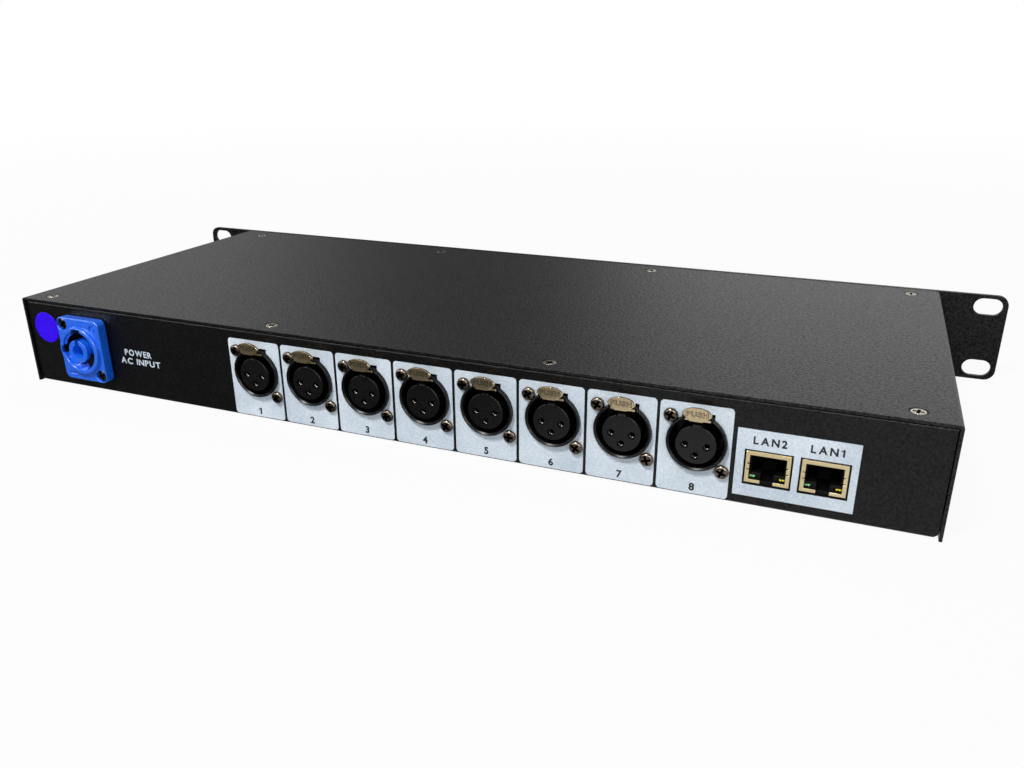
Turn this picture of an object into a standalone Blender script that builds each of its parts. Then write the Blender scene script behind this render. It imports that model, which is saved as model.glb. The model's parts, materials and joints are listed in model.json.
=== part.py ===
"""Art-net node: a one-unit 19 inch rack box with eight XLR outputs, two network jacks and a mains inlet.

Metres, +Z up. The front panel faces -Y and the connectors face +Y. The origin is at the bottom centre
of the whole unit. Every named object is one separate piece.
"""

from math import cos, pi, radians, sin

import bmesh
import bpy
from mathutils import Matrix, Vector

MM = 0.001

# Clearances
FIT = 0.3 * MM  # between neighbouring pieces that touch on the real unit
HOLE_PLAY = 0.3 * MM  # round a piece that stands in a sheet's hole
SLIDE_PLAY = 0.3 * MM  # round a piece that slides

# Front panel
PANEL_WIDTH = 482.6 * MM
PANEL_HEIGHT = 43.6 * MM
PANEL_THICKNESS = 2.0 * MM
PANEL_CORNER = 5.0 * MM
SLOT_SPACING_X = 465.1 * MM
SLOT_SPACING_Z = 31.75 * MM
SLOT_LENGTH = 13.0 * MM
SLOT_HEIGHT = 8.4 * MM

# Tray and lid
BODY_WIDTH = 420.0 * MM
BODY_DEPTH = 175.7 * MM  # from the back of the panel to the rear wall
BODY_HEIGHT = 43.5 * MM
COVER_SHEET = 1.2 * MM
COVER_OVERHANG = 1.0 * MM
TRAY_SHEET = 1.2 * MM
TRAY_LIFT = 0.8 * MM  # the lid's sides reach this far below the tray
FOLD_RADIUS = 1.6 * MM
LID_FLANGE = 15.0 * MM
SIDE_FLANGE = 8.0 * MM
CORNER_RELIEF = 3.0 * MM

# XLR sockets
XLR_COUNT = 8
XLR_PITCH = 28.06 * MM
XLR_ROW_FROM_SIDE = 85.68 * MM  # from the lid's side to the axis of the last socket
XLR_Z = 22.7 * MM
RING_RADIUS = 11.0 * MM
RING_WALL = 1.0 * MM
RING_PROUD = 2.0 * MM
SOCKET_DEPTH = 17.0 * MM
SHELL_WIDTH = 26.0 * MM
SHELL_ABOVE = 13.3 * MM
SHELL_BODY = 18.0 * MM
INSERT_RADIUS = 7.6 * MM
INSERT_PROUD = 2.2 * MM
INSERT_DROP = 0.2 * MM  # the insert sits a little below the ring's axis
INSERT_BASE = 3.0 * MM
CONTACT_RADIUS = 1.45 * MM
CONTACT_REACH = 4.0 * MM  # from the axis to each contact hole
CONTACT_DROP = 0.2 * MM
CONTACT_DEPTH = 12.0 * MM
KEY_WIDTH = 3.1 * MM
KEY_HEIGHT = 0.5 * MM
STRIP_WIDTH = 9.8 * MM
STRIP_THICKNESS = 0.8 * MM
STRIP_Z = 9.0 * MM  # underside of the latch strip above the axis
STRIP_LENGTH = 11.5 * MM
NOSE_DROP = 0.6 * MM
NECK_WIDTH = 4.8 * MM
TAB_WIDTH = 10.6 * MM
TAB_HEIGHT = 5.3 * MM
TAB_THICKNESS = 1.2 * MM
TAB_Z = 13.4 * MM
BEND_DROP = 3.4 * MM  # from the tab's middle down to its bend
LATCH_TRAVEL = 2.0 * MM
SHOULDER_WALL = 0.5 * MM
SHOULDER_TOP = 1.2 * MM

# Network jacks
JACKS_FROM_SIDE = 40.4 * MM  # from the lid's side to the middle of the outer jack
JACK_PITCH = 19.35 * MM
JACK_TOP = 22.4 * MM
SHIELD_WIDTH = 15.8 * MM
SHIELD_HEIGHT = 12.5 * MM
SHIELD_DEPTH = 21.0 * MM
SHIELD_SHEET = 0.4 * MM
SHIELD_LIP = 1.45 * MM
WINDOW_MARGIN = 0.5 * MM
WINDOW_BELOW = 1.0 * MM
MOUTH_WIDTH = 11.9 * MM
MOUTH_HEIGHT = 6.9 * MM
MOUTH_DEPTH = 14.0 * MM
LATCH_WAY_WIDTH = 4.6 * MM
HOUSING_SETBACK = 1.3 * MM
LAMP_WIDTH = 2.4 * MM
LAMP_HEIGHT = 1.3 * MM
LAMP_DEPTH = 2.5 * MM

# Mains inlet
INLET_FROM_SIDE = 38.6 * MM  # from the lid's side to the inlet's axis
INLET_Z = 22.15 * MM
FLANGE_WIDTH = 26.2 * MM
FLANGE_HEIGHT = 31.2 * MM
FLANGE_THICKNESS = 5.3 * MM
FLANGE_CORNER = 3.0 * MM
COLLAR_RADIUS = 12.0 * MM
COLLAR_PROUD = 1.7 * MM
INLET_SOCKET_RADIUS = 9.6 * MM
INLET_SOCKET_DEPTH = 19.0 * MM
LEDGE_RADIUS = 6.6 * MM
LEDGE_DEPTH = 4.5 * MM
BARREL_RADIUS = 11.6 * MM
BARREL_DEPTH = 18.0 * MM
CORE_RADIUS = 5.7 * MM
CORE_BORE = 2.9 * MM
CORE_RECESS = 0.3 * MM
CORE_GAP = 3.2 * MM
TOP_KEY_WIDTH = 5.4 * MM
TOP_KEY_REACH = 10.9 * MM
SIDE_KEY_WIDTH = 3.6 * MM
SIDE_KEY_REACH = 10.6 * MM
RAMP_WAY = 2.2 * MM  # width of the ledge that is left beside the lower way in
INLET_SCREW_X = 9.8 * MM
INLET_SCREW_Z = 12.1 * MM
INLET_SCREW_RADIUS = 1.7 * MM
INLET_SINK_RADIUS = 3.0 * MM
INLET_SINK_DEPTH = 2.4 * MM
CARRIER_RADIUS = 10.4 * MM
CARRIER_DEPTH = 6.0 * MM
BLADE_WIDTH = 6.3 * MM
BLADE_THICKNESS = 0.8 * MM
BLADE_LENGTH = 13.0 * MM
BLADE_REACH = 5.6 * MM

# Boards and supply
BOARD_THICKNESS = 1.6 * MM
POST_RADIUS = 3.0 * MM
POST_HEIGHT = 4.7 * MM
MAIN_BOARD_DEPTH = 62.0 * MM
MAIN_BOARD_MARGIN = 15.0 * MM
SUPPLY_WIDTH = 88.0 * MM
SUPPLY_DEPTH = 72.0 * MM
SUPPLY_HEIGHT = 30.0 * MM
SUPPLY_FROM_SIDE = 18.0 * MM  # from the lid's side to the supply's case
SUPPLY_FROM_FRONT = 40.0 * MM
CONTROL_BOARD_HEIGHT = 33.0 * MM
CONTROL_Z = 21.8 * MM
DISPLAY_X = 0.0 * MM
DISPLAY_WIDTH = 66.0 * MM
DISPLAY_HEIGHT = 17.0 * MM
DISPLAY_MODULE_WIDTH = 72.0 * MM
DISPLAY_MODULE_HEIGHT = 25.0 * MM
DISPLAY_MODULE_DEPTH = 7.0 * MM
DISPLAY_LEDGE = 2.0 * MM
BUTTON_COUNT = 4
BUTTONS_FROM_DISPLAY = 24.0 * MM  # from the display module to the first button
BUTTON_PITCH = 15.0 * MM
BUTTON_RADIUS = 4.0 * MM
BUTTON_PROUD = 2.5 * MM
BUTTON_COLLAR_RADIUS = 5.0 * MM
BUTTON_COLLAR = 1.0 * MM
BUTTON_TAIL = 1.2 * MM
BUTTON_TRAVEL = 0.6 * MM
SWITCH_WIDTH = 6.2 * MM
INDICATORS_FROM_DISPLAY = 17.0 * MM  # from the display module to the last lamp
INDICATOR_PITCH = 11.0 * MM
INDICATOR_RADIUS = 1.5 * MM
INDICATOR_PROUD = 0.8 * MM
POWER_LAMP_GAP = 30.0 * MM  # from the power lamp to the first lamp of the row

# Places that follow from the sizes above
TOTAL_DEPTH = BUTTON_PROUD + PANEL_THICKNESS + BODY_DEPTH + FLANGE_THICKNESS + COLLAR_PROUD
PANEL_BACK = BUTTON_PROUD + PANEL_THICKNESS - TOTAL_DEPTH / 2
REAR = PANEL_BACK + BODY_DEPTH
REAR_INSIDE = REAR - TRAY_SHEET
TRAY_FRONT = PANEL_BACK + FIT
FRONT_INSIDE = TRAY_FRONT + TRAY_SHEET
TRAY_TOP = BODY_HEIGHT - COVER_SHEET - FIT
TRAY_HALF_WIDTH = BODY_WIDTH / 2 - COVER_SHEET - FIT
TRAY_FLOOR = TRAY_LIFT + TRAY_SHEET
BOARD_BOTTOM = TRAY_FLOOR + POST_HEIGHT + FIT
BOARD_TOP = BOARD_BOTTOM + BOARD_THICKNESS
SOCKET_RADIUS = RING_RADIUS - RING_WALL
SHELL_FRONT = REAR_INSIDE - FIT
SHELL_BACK = SHELL_FRONT - SHELL_BODY
XLR_LAST_X = XLR_ROW_FROM_SIDE - BODY_WIDTH / 2
XLR_XS = [XLR_LAST_X + (XLR_COUNT - 1 - i) * XLR_PITCH for i in range(XLR_COUNT)]
JACK_XS = [JACKS_FROM_SIDE - BODY_WIDTH / 2 + i * JACK_PITCH for i in range(2)]
INLET_X = BODY_WIDTH / 2 - INLET_FROM_SIDE
SUPPLY_X = BODY_WIDTH / 2 - SUPPLY_FROM_SIDE - SUPPLY_WIDTH / 2
SLOT_HALF = STRIP_WIDTH / 2 + SLIDE_PLAY
SLOT_TOP = STRIP_Z + STRIP_THICKNESS + SLIDE_PLAY
SHOULDER_HALF = SLOT_HALF + SHOULDER_WALL
SHOULDER_Z = SLOT_TOP + SHOULDER_TOP
TAB_BACK = RING_PROUD + FIT + LATCH_TRAVEL
CONTROL_BOARD_FRONT = FRONT_INSIDE + FIT + DISPLAY_MODULE_DEPTH + FIT
BUTTON_FIRST_X = DISPLAY_X + DISPLAY_MODULE_WIDTH / 2 + BUTTONS_FROM_DISPLAY
BUTTON_XS = [BUTTON_FIRST_X + i * BUTTON_PITCH for i in range(BUTTON_COUNT)]
LAMP_LAST_X = DISPLAY_X - DISPLAY_MODULE_WIDTH / 2 - INDICATORS_FROM_DISPLAY
LAMP_XS = [LAMP_LAST_X - (XLR_COUNT - 1 - i) * INDICATOR_PITCH for i in range(XLR_COUNT)]
POWER_LAMP_X = LAMP_XS[0] - POWER_LAMP_GAP

FACING = {
    "X": Matrix.Rotation(radians(90), 4, "Y"),
    "Y": Matrix.Rotation(radians(-90), 4, "X"),
    "Z": Matrix.Identity(4),
}


def collection(name):
    """A new collection in the scene."""
    made = bpy.data.collections.new(name)
    bpy.context.scene.collection.children.link(made)
    return made


def material(name, colour, roughness, metallic=0.0, alpha=1.0):
    """A Principled BSDF material with one colour."""
    made = bpy.data.materials.new(name)
    made.use_nodes = True
    shader = made.node_tree.nodes["Principled BSDF"]
    shader.inputs["Base Color"].default_value = (*colour, 1.0)
    shader.inputs["Roughness"].default_value = roughness
    shader.inputs["Metallic"].default_value = metallic
    shader.inputs["Alpha"].default_value = alpha
    return made


def block(bm, low, high, round_axis=None, radius=0.0, segments=4):
    """A box between two corners, its four edges along round_axis rounded."""
    low, high = Vector(low), Vector(high)
    size = Matrix.Diagonal((*(high - low), 1.0))
    made = bmesh.ops.create_cube(bm, size=1.0, matrix=Matrix.Translation((low + high) / 2) @ size)
    if round_axis:
        axis = "XYZ".index(round_axis)
        corners = set(made["verts"])
        along = [
            edge
            for edge in bm.edges
            if edge.verts[0] in corners and abs((edge.verts[1].co - edge.verts[0].co)[axis]) > 1e-9
        ]
        bmesh.ops.bevel(bm, geom=along, offset=radius, segments=segments, profile=0.5, affect="EDGES")


def rod(bm, centre, radius, length, axis="Y", segments=24, end_radius=None):
    """A cylinder or cone about its centre, along one axis; end_radius is at the axis's positive end."""
    end_radius = radius if end_radius is None else end_radius
    return bmesh.ops.create_cone(
        bm,
        cap_ends=True,
        segments=segments,
        radius1=radius,
        radius2=end_radius,
        depth=length,
        matrix=Matrix.Translation(centre) @ FACING[axis],
    )["verts"]


def round_slot(bm, centre, length, height, depth, segments=24):
    """A slot shape with round ends, long in X and cut along Y."""
    radius = height / 2 / cos(pi / segments)
    turn = Matrix.Rotation(pi / segments, 4, "Z")
    verts = bmesh.ops.create_cone(
        bm,
        cap_ends=True,
        segments=segments,
        radius1=radius,
        radius2=radius,
        depth=depth,
        matrix=Matrix.Translation(centre) @ FACING["Y"] @ turn,
    )["verts"]
    for vert in verts:
        vert.co.x += (length - height) / 2 * (1 if vert.co.x > centre[0] else -1)


def solid(name, build, home, surface=None, origin=(0.0, 0.0, 0.0), shape_data=None):
    """An object whose mesh build(bm) draws in the unit's own coordinates, with its origin at origin."""
    mesh = shape_data or bpy.data.meshes.new(name)
    if shape_data is None:
        bm = bmesh.new()
        build(bm)
        bmesh.ops.translate(bm, verts=bm.verts, vec=-Vector(origin))
        bm.to_mesh(mesh)
        bm.free()
    if surface:
        mesh.materials.clear()
        mesh.materials.append(surface)
    made = bpy.data.objects.new(name, mesh)
    made.location = origin
    home.objects.link(made)
    return made


def cutter(name, build):
    """A helper shape that a Boolean reads; it isn't a piece of the unit."""
    made = solid(name, build, CUTTERS)
    made.display_type = "WIRE"
    made.hide_render = True
    return made


def combine(target, other, operation):
    """A Boolean modifier on target."""
    modifier = target.modifiers.new(other.name, "BOOLEAN")
    modifier.operation = operation
    modifier.object = other
    modifier.solver = "EXACT"
    return modifier


def cut(target, name, build):
    return combine(target, cutter(name, build), "DIFFERENCE")


def join(target, name, build):
    return combine(target, cutter(name, build), "UNION")


def folded_sheet(name, path, along, ends, thickness, radius, home, surface):
    """A sheet folded along a path: path is its outer skin, seen along one axis, between two ends."""
    bm = bmesh.new()
    rows = []
    for end in ends:
        rows.append([bm.verts.new((end, a, b) if along == "X" else (a, end, b)) for a, b in path])
    for i in range(len(path) - 1):
        bm.faces.new((rows[0][i], rows[0][i + 1], rows[1][i + 1], rows[1][i]))
    mesh = bpy.data.meshes.new(name)
    bm.to_mesh(mesh)
    bm.free()
    mesh.materials.append(surface)
    made = bpy.data.objects.new(name, mesh)
    home.objects.link(made)
    fold = made.modifiers.new("folds", "BEVEL")
    fold.width = radius
    fold.segments = 3
    fold.limit_method = "ANGLE"
    fold.angle_limit = radians(40)
    wall = made.modifiers.new("sheet", "SOLIDIFY")
    wall.thickness = thickness
    wall.offset = -1
    wall.use_even_offset = True
    return made


def finished_mesh(made):
    """The mesh that an object's modifiers give, in its own coordinates."""
    graph = bpy.context.evaluated_depsgraph_get()
    return bpy.data.meshes.new_from_object(made.evaluated_get(graph))


def freeze(made):
    """Replaces an object's modifiers by the mesh they give."""
    mesh = finished_mesh(made)
    made.modifiers.clear()
    made.data = mesh


def smooth(made, angle=35):
    """Smooth shading with sharp edges past an angle."""
    made.data.shade_smooth()
    made.data.set_sharp_from_angle(angle=radians(angle))


def copies(first, names, places):
    """Copies of a finished piece that share its mesh."""
    for name, place in zip(names, places):
        made = first.copy()
        made.name = name
        made.location = place
        UNIT.objects.link(made)


def build_front_panel():
    """Flat panel with round corners, four rack slots and the openings for display, buttons and lamps."""

    def plate(bm):
        half = PANEL_WIDTH / 2
        block(bm, (-half, PANEL_BACK - PANEL_THICKNESS, 0), (half, PANEL_BACK, PANEL_HEIGHT),
              "Y", PANEL_CORNER, 5)

    def slots(bm):
        middle = PANEL_BACK - PANEL_THICKNESS / 2
        for side in (-1, 1):
            for level in (-1, 1):
                centre = (side * SLOT_SPACING_X / 2, middle, PANEL_HEIGHT / 2 + level * SLOT_SPACING_Z / 2)
                round_slot(bm, centre, SLOT_LENGTH, SLOT_HEIGHT, PANEL_THICKNESS * 3)

    def windows(bm):
        near, far = PANEL_BACK - PANEL_THICKNESS * 2, PANEL_BACK + PANEL_THICKNESS
        half, rise = DISPLAY_WIDTH / 2, DISPLAY_HEIGHT / 2
        block(bm, (DISPLAY_X - half, near, CONTROL_Z - rise), (DISPLAY_X + half, far, CONTROL_Z + rise),
              "Y", 1.0 * MM, 3)
        front_holes(bm, near, far)

    panel = solid("front_panel", plate, UNIT, POWDER_COAT)
    cut(panel, "rack_slots", slots)
    cut(panel, "panel_windows", windows)
    freeze(panel)
    # Each ear's rear face ends at the lid's side, where the rack's rail bears on it.
    bm = bmesh.new()
    bm.from_mesh(panel.data)
    for side in (-1, 1):
        everything = bm.verts[:] + bm.edges[:] + bm.faces[:]
        seam = side * (BODY_WIDTH / 2 + FIT * 2)
        bmesh.ops.bisect_plane(bm, geom=everything, plane_co=(seam, 0, 0), plane_no=(side, 0, 0))
    bm.to_mesh(panel.data)
    bm.free()
    smooth(panel)


def front_holes(bm, near, far):
    """Round holes for the push buttons and the lamps."""
    middle, length = (near + far) / 2, far - near
    for x in BUTTON_XS:
        rod(bm, (x, middle, CONTROL_Z), BUTTON_RADIUS + SLIDE_PLAY, length, segments=16)
    for x in [POWER_LAMP_X] + LAMP_XS:
        rod(bm, (x, middle, CONTROL_Z), INDICATOR_RADIUS + FIT, length, segments=12)


def build_tray():
    """Folded tray: lid flanges front and rear, low side flanges, connector holes and board posts."""
    path = [
        (TRAY_FRONT + LID_FLANGE, TRAY_TOP),
        (TRAY_FRONT, TRAY_TOP),
        (TRAY_FRONT, TRAY_LIFT),
        (REAR, TRAY_LIFT),
        (REAR, TRAY_TOP),
        (REAR - LID_FLANGE, TRAY_TOP),
    ]
    half = TRAY_HALF_WIDTH
    tray = folded_sheet("chassis_tray", path, "X", (-half, half), TRAY_SHEET, FOLD_RADIUS, UNIT, POWDER_COAT)

    def side_flanges(bm):
        for side in (-1, 1):
            outer, inner = side * half, side * (half - TRAY_SHEET)
            block(bm,
                  (min(outer, inner), FRONT_INSIDE + CORNER_RELIEF, TRAY_LIFT + TRAY_SHEET / 2),
                  (max(outer, inner), REAR_INSIDE - CORNER_RELIEF, TRAY_FLOOR + SIDE_FLANGE))

    def posts(bm):
        for x, y in main_board_posts():
            rod(bm, (x, y, TRAY_FLOOR + (POST_HEIGHT - TRAY_SHEET / 2) / 2), POST_RADIUS,
                POST_HEIGHT + TRAY_SHEET / 2, "Z", 12)
        reach = CONTROL_BOARD_FRONT - FIT - FRONT_INSIDE
        for x, z in control_board_posts():
            rod(bm, (x, FRONT_INSIDE + (reach - TRAY_SHEET / 2) / 2, z), POST_RADIUS,
                reach + TRAY_SHEET / 2, "Y", 12)

    def round_holes(bm):
        for x in XLR_XS:
            rod(bm, (x, REAR, XLR_Z), RING_RADIUS + HOLE_PLAY, TRAY_SHEET * 4, segments=32)
        rod(bm, (INLET_X, REAR, INLET_Z), BARREL_RADIUS + HOLE_PLAY, TRAY_SHEET * 4, segments=32)
        front_holes(bm, TRAY_FRONT - TRAY_SHEET, FRONT_INSIDE + TRAY_SHEET)

    def windows(bm):
        near, far = REAR - TRAY_SHEET * 2, REAR + TRAY_SHEET * 2
        for x in XLR_XS:
            wide = SHOULDER_HALF + HOLE_PLAY
            block(bm, (x - wide, near, XLR_Z), (x + wide, far, XLR_Z + SHOULDER_Z + HOLE_PLAY))
        for x in JACK_XS:
            wide = SHIELD_WIDTH / 2 + WINDOW_MARGIN
            block(bm, (x - wide, near, JACK_TOP - SHIELD_HEIGHT - WINDOW_BELOW),
                  (x + wide, far, JACK_TOP + WINDOW_MARGIN))
        wide, rise = DISPLAY_WIDTH / 2 - DISPLAY_LEDGE, DISPLAY_HEIGHT / 2 - DISPLAY_LEDGE
        block(bm, (DISPLAY_X - wide, TRAY_FRONT - TRAY_SHEET, CONTROL_Z - rise),
              (DISPLAY_X + wide, FRONT_INSIDE + TRAY_SHEET, CONTROL_Z + rise))

    join(tray, "side_flanges", side_flanges)
    join(tray, "board_posts", posts)
    cut(tray, "tray_round_holes", round_holes)
    cut(tray, "tray_windows", windows)
    freeze(tray)
    smooth(tray)


def build_cover():
    """U cover over the tray, folded from one sheet, a little longer than the tray at the rear."""
    half = BODY_WIDTH / 2
    path = [(-half, 0), (-half, BODY_HEIGHT), (half, BODY_HEIGHT), (half, 0)]
    cover = folded_sheet("top_cover", path, "Y", (PANEL_BACK + FIT, REAR + COVER_OVERHANG),
                         COVER_SHEET, FOLD_RADIUS, UNIT, POWDER_COAT)
    freeze(cover)
    smooth(cover)


def build_xlr_shells():
    """Housings: a square body behind the rear wall and a ring with two shoulders in front of it."""
    home = (XLR_XS[0], REAR, XLR_Z)
    x, z = XLR_XS[0], XLR_Z
    front = REAR + RING_PROUD

    def body(bm):
        block(bm, (x - SHELL_WIDTH / 2, SHELL_BACK, BOARD_TOP + FIT),
              (x + SHELL_WIDTH / 2, SHELL_FRONT, z + SHELL_ABOVE), "Y", 1.5 * MM, 2)

    def ring(bm):
        start = SHELL_FRONT - RING_WALL
        rod(bm, (x, (start + front) / 2, z), RING_RADIUS, front - start, segments=32)

    def shoulders(bm):
        start = SHELL_FRONT - RING_WALL
        block(bm, (x - SHOULDER_HALF, start, z + STRIP_Z), (x + SHOULDER_HALF, front, z + SHOULDER_Z))

    def bore(bm):
        rod(bm, (x, front - SOCKET_DEPTH / 2 + RING_WALL, z), SOCKET_RADIUS, SOCKET_DEPTH + RING_WALL * 2,
            segments=32)

    def strip_slot(bm):
        back = front - SOCKET_DEPTH + INSERT_BASE
        block(bm, (x - SLOT_HALF, back, z + STRIP_Z / 2), (x + SLOT_HALF, front + RING_WALL, z + SLOT_TOP))

    def neck_slot(bm):
        wide = NECK_WIDTH / 2 + SLIDE_PLAY
        block(bm, (x - wide, front - LATCH_TRAVEL - FIT * 2, z + STRIP_Z),
              (x + wide, front + RING_WALL, z + SHOULDER_Z * 2))

    shell = solid("xlr_shell_1", body, UNIT, BLACK_PLASTIC, home)
    join(shell, "shell_ring", ring)
    join(shell, "shell_shoulders", shoulders)
    cut(shell, "shell_bore", bore)
    cut(shell, "shell_strip_slot", strip_slot)
    cut(shell, "shell_neck_slot", neck_slot)
    freeze(shell)
    smooth(shell)
    copies(shell, [f"xlr_shell_{i + 1}" for i in range(1, XLR_COUNT)],
           [(other, REAR, XLR_Z) for other in XLR_XS[1:]])


def build_xlr_inserts():
    """Contact carriers: a turned core on a wider base, with three contact holes and a key on top."""
    x, z = XLR_XS[0], XLR_Z
    middle = z - INSERT_DROP
    front = REAR + INSERT_PROUD
    back = REAR + RING_PROUD - SOCKET_DEPTH + FIT

    def core(bm):
        rod(bm, (x, (back + front) / 2, middle), INSERT_RADIUS, front - back, segments=32)

    def base(bm):
        rod(bm, (x, back + INSERT_BASE / 2, z), SOCKET_RADIUS - FIT, INSERT_BASE, segments=24)

    def key(bm):
        block(bm, (x - KEY_WIDTH / 2, back + INSERT_BASE / 2, middle + INSERT_RADIUS / 2),
              (x + KEY_WIDTH / 2, front, middle + INSERT_RADIUS + KEY_HEIGHT))

    def contacts(bm):
        level = middle - CONTACT_DROP
        for dx, dz in ((-CONTACT_REACH, 0), (CONTACT_REACH, 0), (0, -CONTACT_REACH)):
            rod(bm, (x + dx, front, level + dz), CONTACT_RADIUS, CONTACT_DEPTH * 2, segments=14)

    insert = solid("xlr_insert_1", core, UNIT, INSERT_PLASTIC, (x, REAR, z))
    join(insert, "insert_base", base)
    join(insert, "insert_key", key)
    cut(insert, "insert_contacts", contacts)
    freeze(insert)
    smooth(insert)
    copies(insert, [f"xlr_insert_{i + 1}" for i in range(1, XLR_COUNT)],
           [(other, REAR, XLR_Z) for other in XLR_XS[1:]])


def build_xlr_latches():
    """Latches: a strip in the shell's slot, a neck that rises in front of the ring and an oval tab."""
    x, z = XLR_XS[0], XLR_Z
    front = REAR + RING_PROUD
    strip_end = front - STRIP_LENGTH

    def strip(bm):
        block(bm, (x - STRIP_WIDTH / 2, strip_end, z + STRIP_Z),
              (x + STRIP_WIDTH / 2, front, z + STRIP_Z + STRIP_THICKNESS), "Z", 0.5 * MM, 2)

    def nose(bm):
        block(bm, (x - NECK_WIDTH / 2, strip_end + FIT, z + STRIP_Z - NOSE_DROP),
              (x + NECK_WIDTH / 2, strip_end + NOSE_DROP + FIT * 2, z + STRIP_Z + STRIP_THICKNESS / 2))

    def neck(bm):
        middle = (front + REAR + TAB_BACK) / 2
        low = z + STRIP_Z + STRIP_THICKNESS / 8
        block(bm, (x - NECK_WIDTH / 2, front - STRIP_THICKNESS, low),
              (x + NECK_WIDTH / 2, REAR + TAB_BACK + TAB_THICKNESS / 2, low + STRIP_THICKNESS * 0.75))
        rise = TAB_Z - BEND_DROP - STRIP_Z
        for vert in bm.verts:
            if vert.co.y > middle:
                vert.co.z += rise

    def riser(bm):
        block(bm, (x - NECK_WIDTH * 0.49, REAR + TAB_BACK + TAB_THICKNESS / 8, z + TAB_Z - BEND_DROP),
              (x + NECK_WIDTH * 0.49, REAR + TAB_BACK + TAB_THICKNESS * 7 / 8, z + TAB_Z))

    def tab(bm):
        verts = rod(bm, (x, REAR + TAB_BACK + TAB_THICKNESS / 2, z + TAB_Z), TAB_WIDTH / 2, TAB_THICKNESS,
                    segments=28)
        for vert in verts:
            vert.co.z = z + TAB_Z + (vert.co.z - z - TAB_Z) * TAB_HEIGHT / TAB_WIDTH

    latch = solid("xlr_latch_1", strip, UNIT, NICKEL, (x, REAR, z))
    join(latch, "latch_nose", nose)
    join(latch, "latch_neck", neck)
    join(latch, "latch_riser", riser)
    join(latch, "latch_tab", tab)
    freeze(latch)
    smooth(latch)
    copies(latch, [f"xlr_latch_{i + 1}" for i in range(1, XLR_COUNT)],
           [(other, REAR, XLR_Z) for other in XLR_XS[1:]])


def build_ethernet_jacks():
    """Two shielded jacks: the folded shield with its front frame, the housing and two lamps in each."""
    x, top = JACK_XS[0], JACK_TOP
    bottom = top - SHIELD_HEIGHT
    half = SHIELD_WIDTH / 2
    back = REAR - SHIELD_DEPTH
    inside = half - SHIELD_SHEET
    floor = BOARD_TOP + FIT
    mouth_top = top - SHIELD_LIP - 2 * FIT
    mouth_bottom = mouth_top - MOUTH_HEIGHT
    face = REAR - HOUSING_SETBACK
    lamp_bottom = bottom + SHIELD_LIP * 0.86 + FIT
    lamp_half = inside - FIT - SHIELD_LIP / 2

    def shield(bm):
        block(bm, (x - half, back, bottom), (x + half, REAR, top))

    def shield_space(bm):
        block(bm, (x - inside, back - SHIELD_SHEET, bottom - SHIELD_SHEET),
              (x + inside, REAR - SHIELD_SHEET, top - SHIELD_SHEET))

    def frame_opening(bm):
        lip = half - SHIELD_LIP
        block(bm, (x - lip, REAR - SHIELD_SHEET * 2, bottom + SHIELD_LIP * 0.86),
              (x + lip, REAR + SHIELD_SHEET, top - SHIELD_LIP * 1.24))

    def frame_notch(bm):
        wide = LATCH_WAY_WIDTH / 2
        block(bm, (x - wide, REAR - SHIELD_SHEET * 2, bottom - SHIELD_SHEET),
              (x + wide, REAR + SHIELD_SHEET, bottom + SHIELD_LIP * 2))

    def housing(bm):
        wide = inside - FIT
        block(bm, (x - wide, back + FIT, floor), (x + wide, face, top - SHIELD_SHEET - FIT))

    def mouth(bm):
        wide = MOUTH_WIDTH / 2
        block(bm, (x - wide, face - MOUTH_DEPTH, mouth_bottom), (x + wide, face + FIT, mouth_top))

    def latch_way(bm):
        wide = LATCH_WAY_WIDTH / 2
        block(bm, (x - wide, face - MOUTH_DEPTH * 0.8, bottom + FIT * 2),
              (x + wide, face + FIT, mouth_top - FIT))

    def lamp_box(bm, side, play):
        inner, outer = lamp_half - LAMP_WIDTH - play, lamp_half + play
        low_x, high_x = sorted((x + side * inner, x + side * outer))
        block(bm, (low_x, face - LAMP_DEPTH - play, lamp_bottom - play),
              (high_x, face + (FIT if play else 0), lamp_bottom + LAMP_HEIGHT + play))

    def pockets(bm):
        for side in (-1, 1):
            lamp_box(bm, side, FIT)

    shell = solid("ethernet_shield_1", shield, UNIT, TINPLATE, (x, REAR, top))
    cut(shell, "shield_space", shield_space)
    cut(shell, "shield_opening", frame_opening)
    cut(shell, "shield_notch", frame_notch)
    freeze(shell)
    jack = solid("ethernet_housing_1", housing, UNIT, BLACK_PLASTIC, (x, REAR, top))
    cut(jack, "jack_mouth", mouth)
    cut(jack, "jack_latch_way", latch_way)
    cut(jack, "jack_lamp_pockets", pockets)
    freeze(jack)
    home = (x, REAR, top)
    green = solid("ethernet_lamp_green_1", lambda bm: lamp_box(bm, 1, 0.0), UNIT, GREEN_LAMP, home)
    yellow = solid("ethernet_lamp_yellow_1", lambda bm: lamp_box(bm, -1, 0.0), UNIT, YELLOW_LAMP, home)
    for piece, name in ((shell, "ethernet_shield_2"), (jack, "ethernet_housing_2"),
                        (green, "ethernet_lamp_green_2"), (yellow, "ethernet_lamp_yellow_2")):
        copies(piece, [name], [(JACK_XS[1], REAR, JACK_TOP)])


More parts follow.
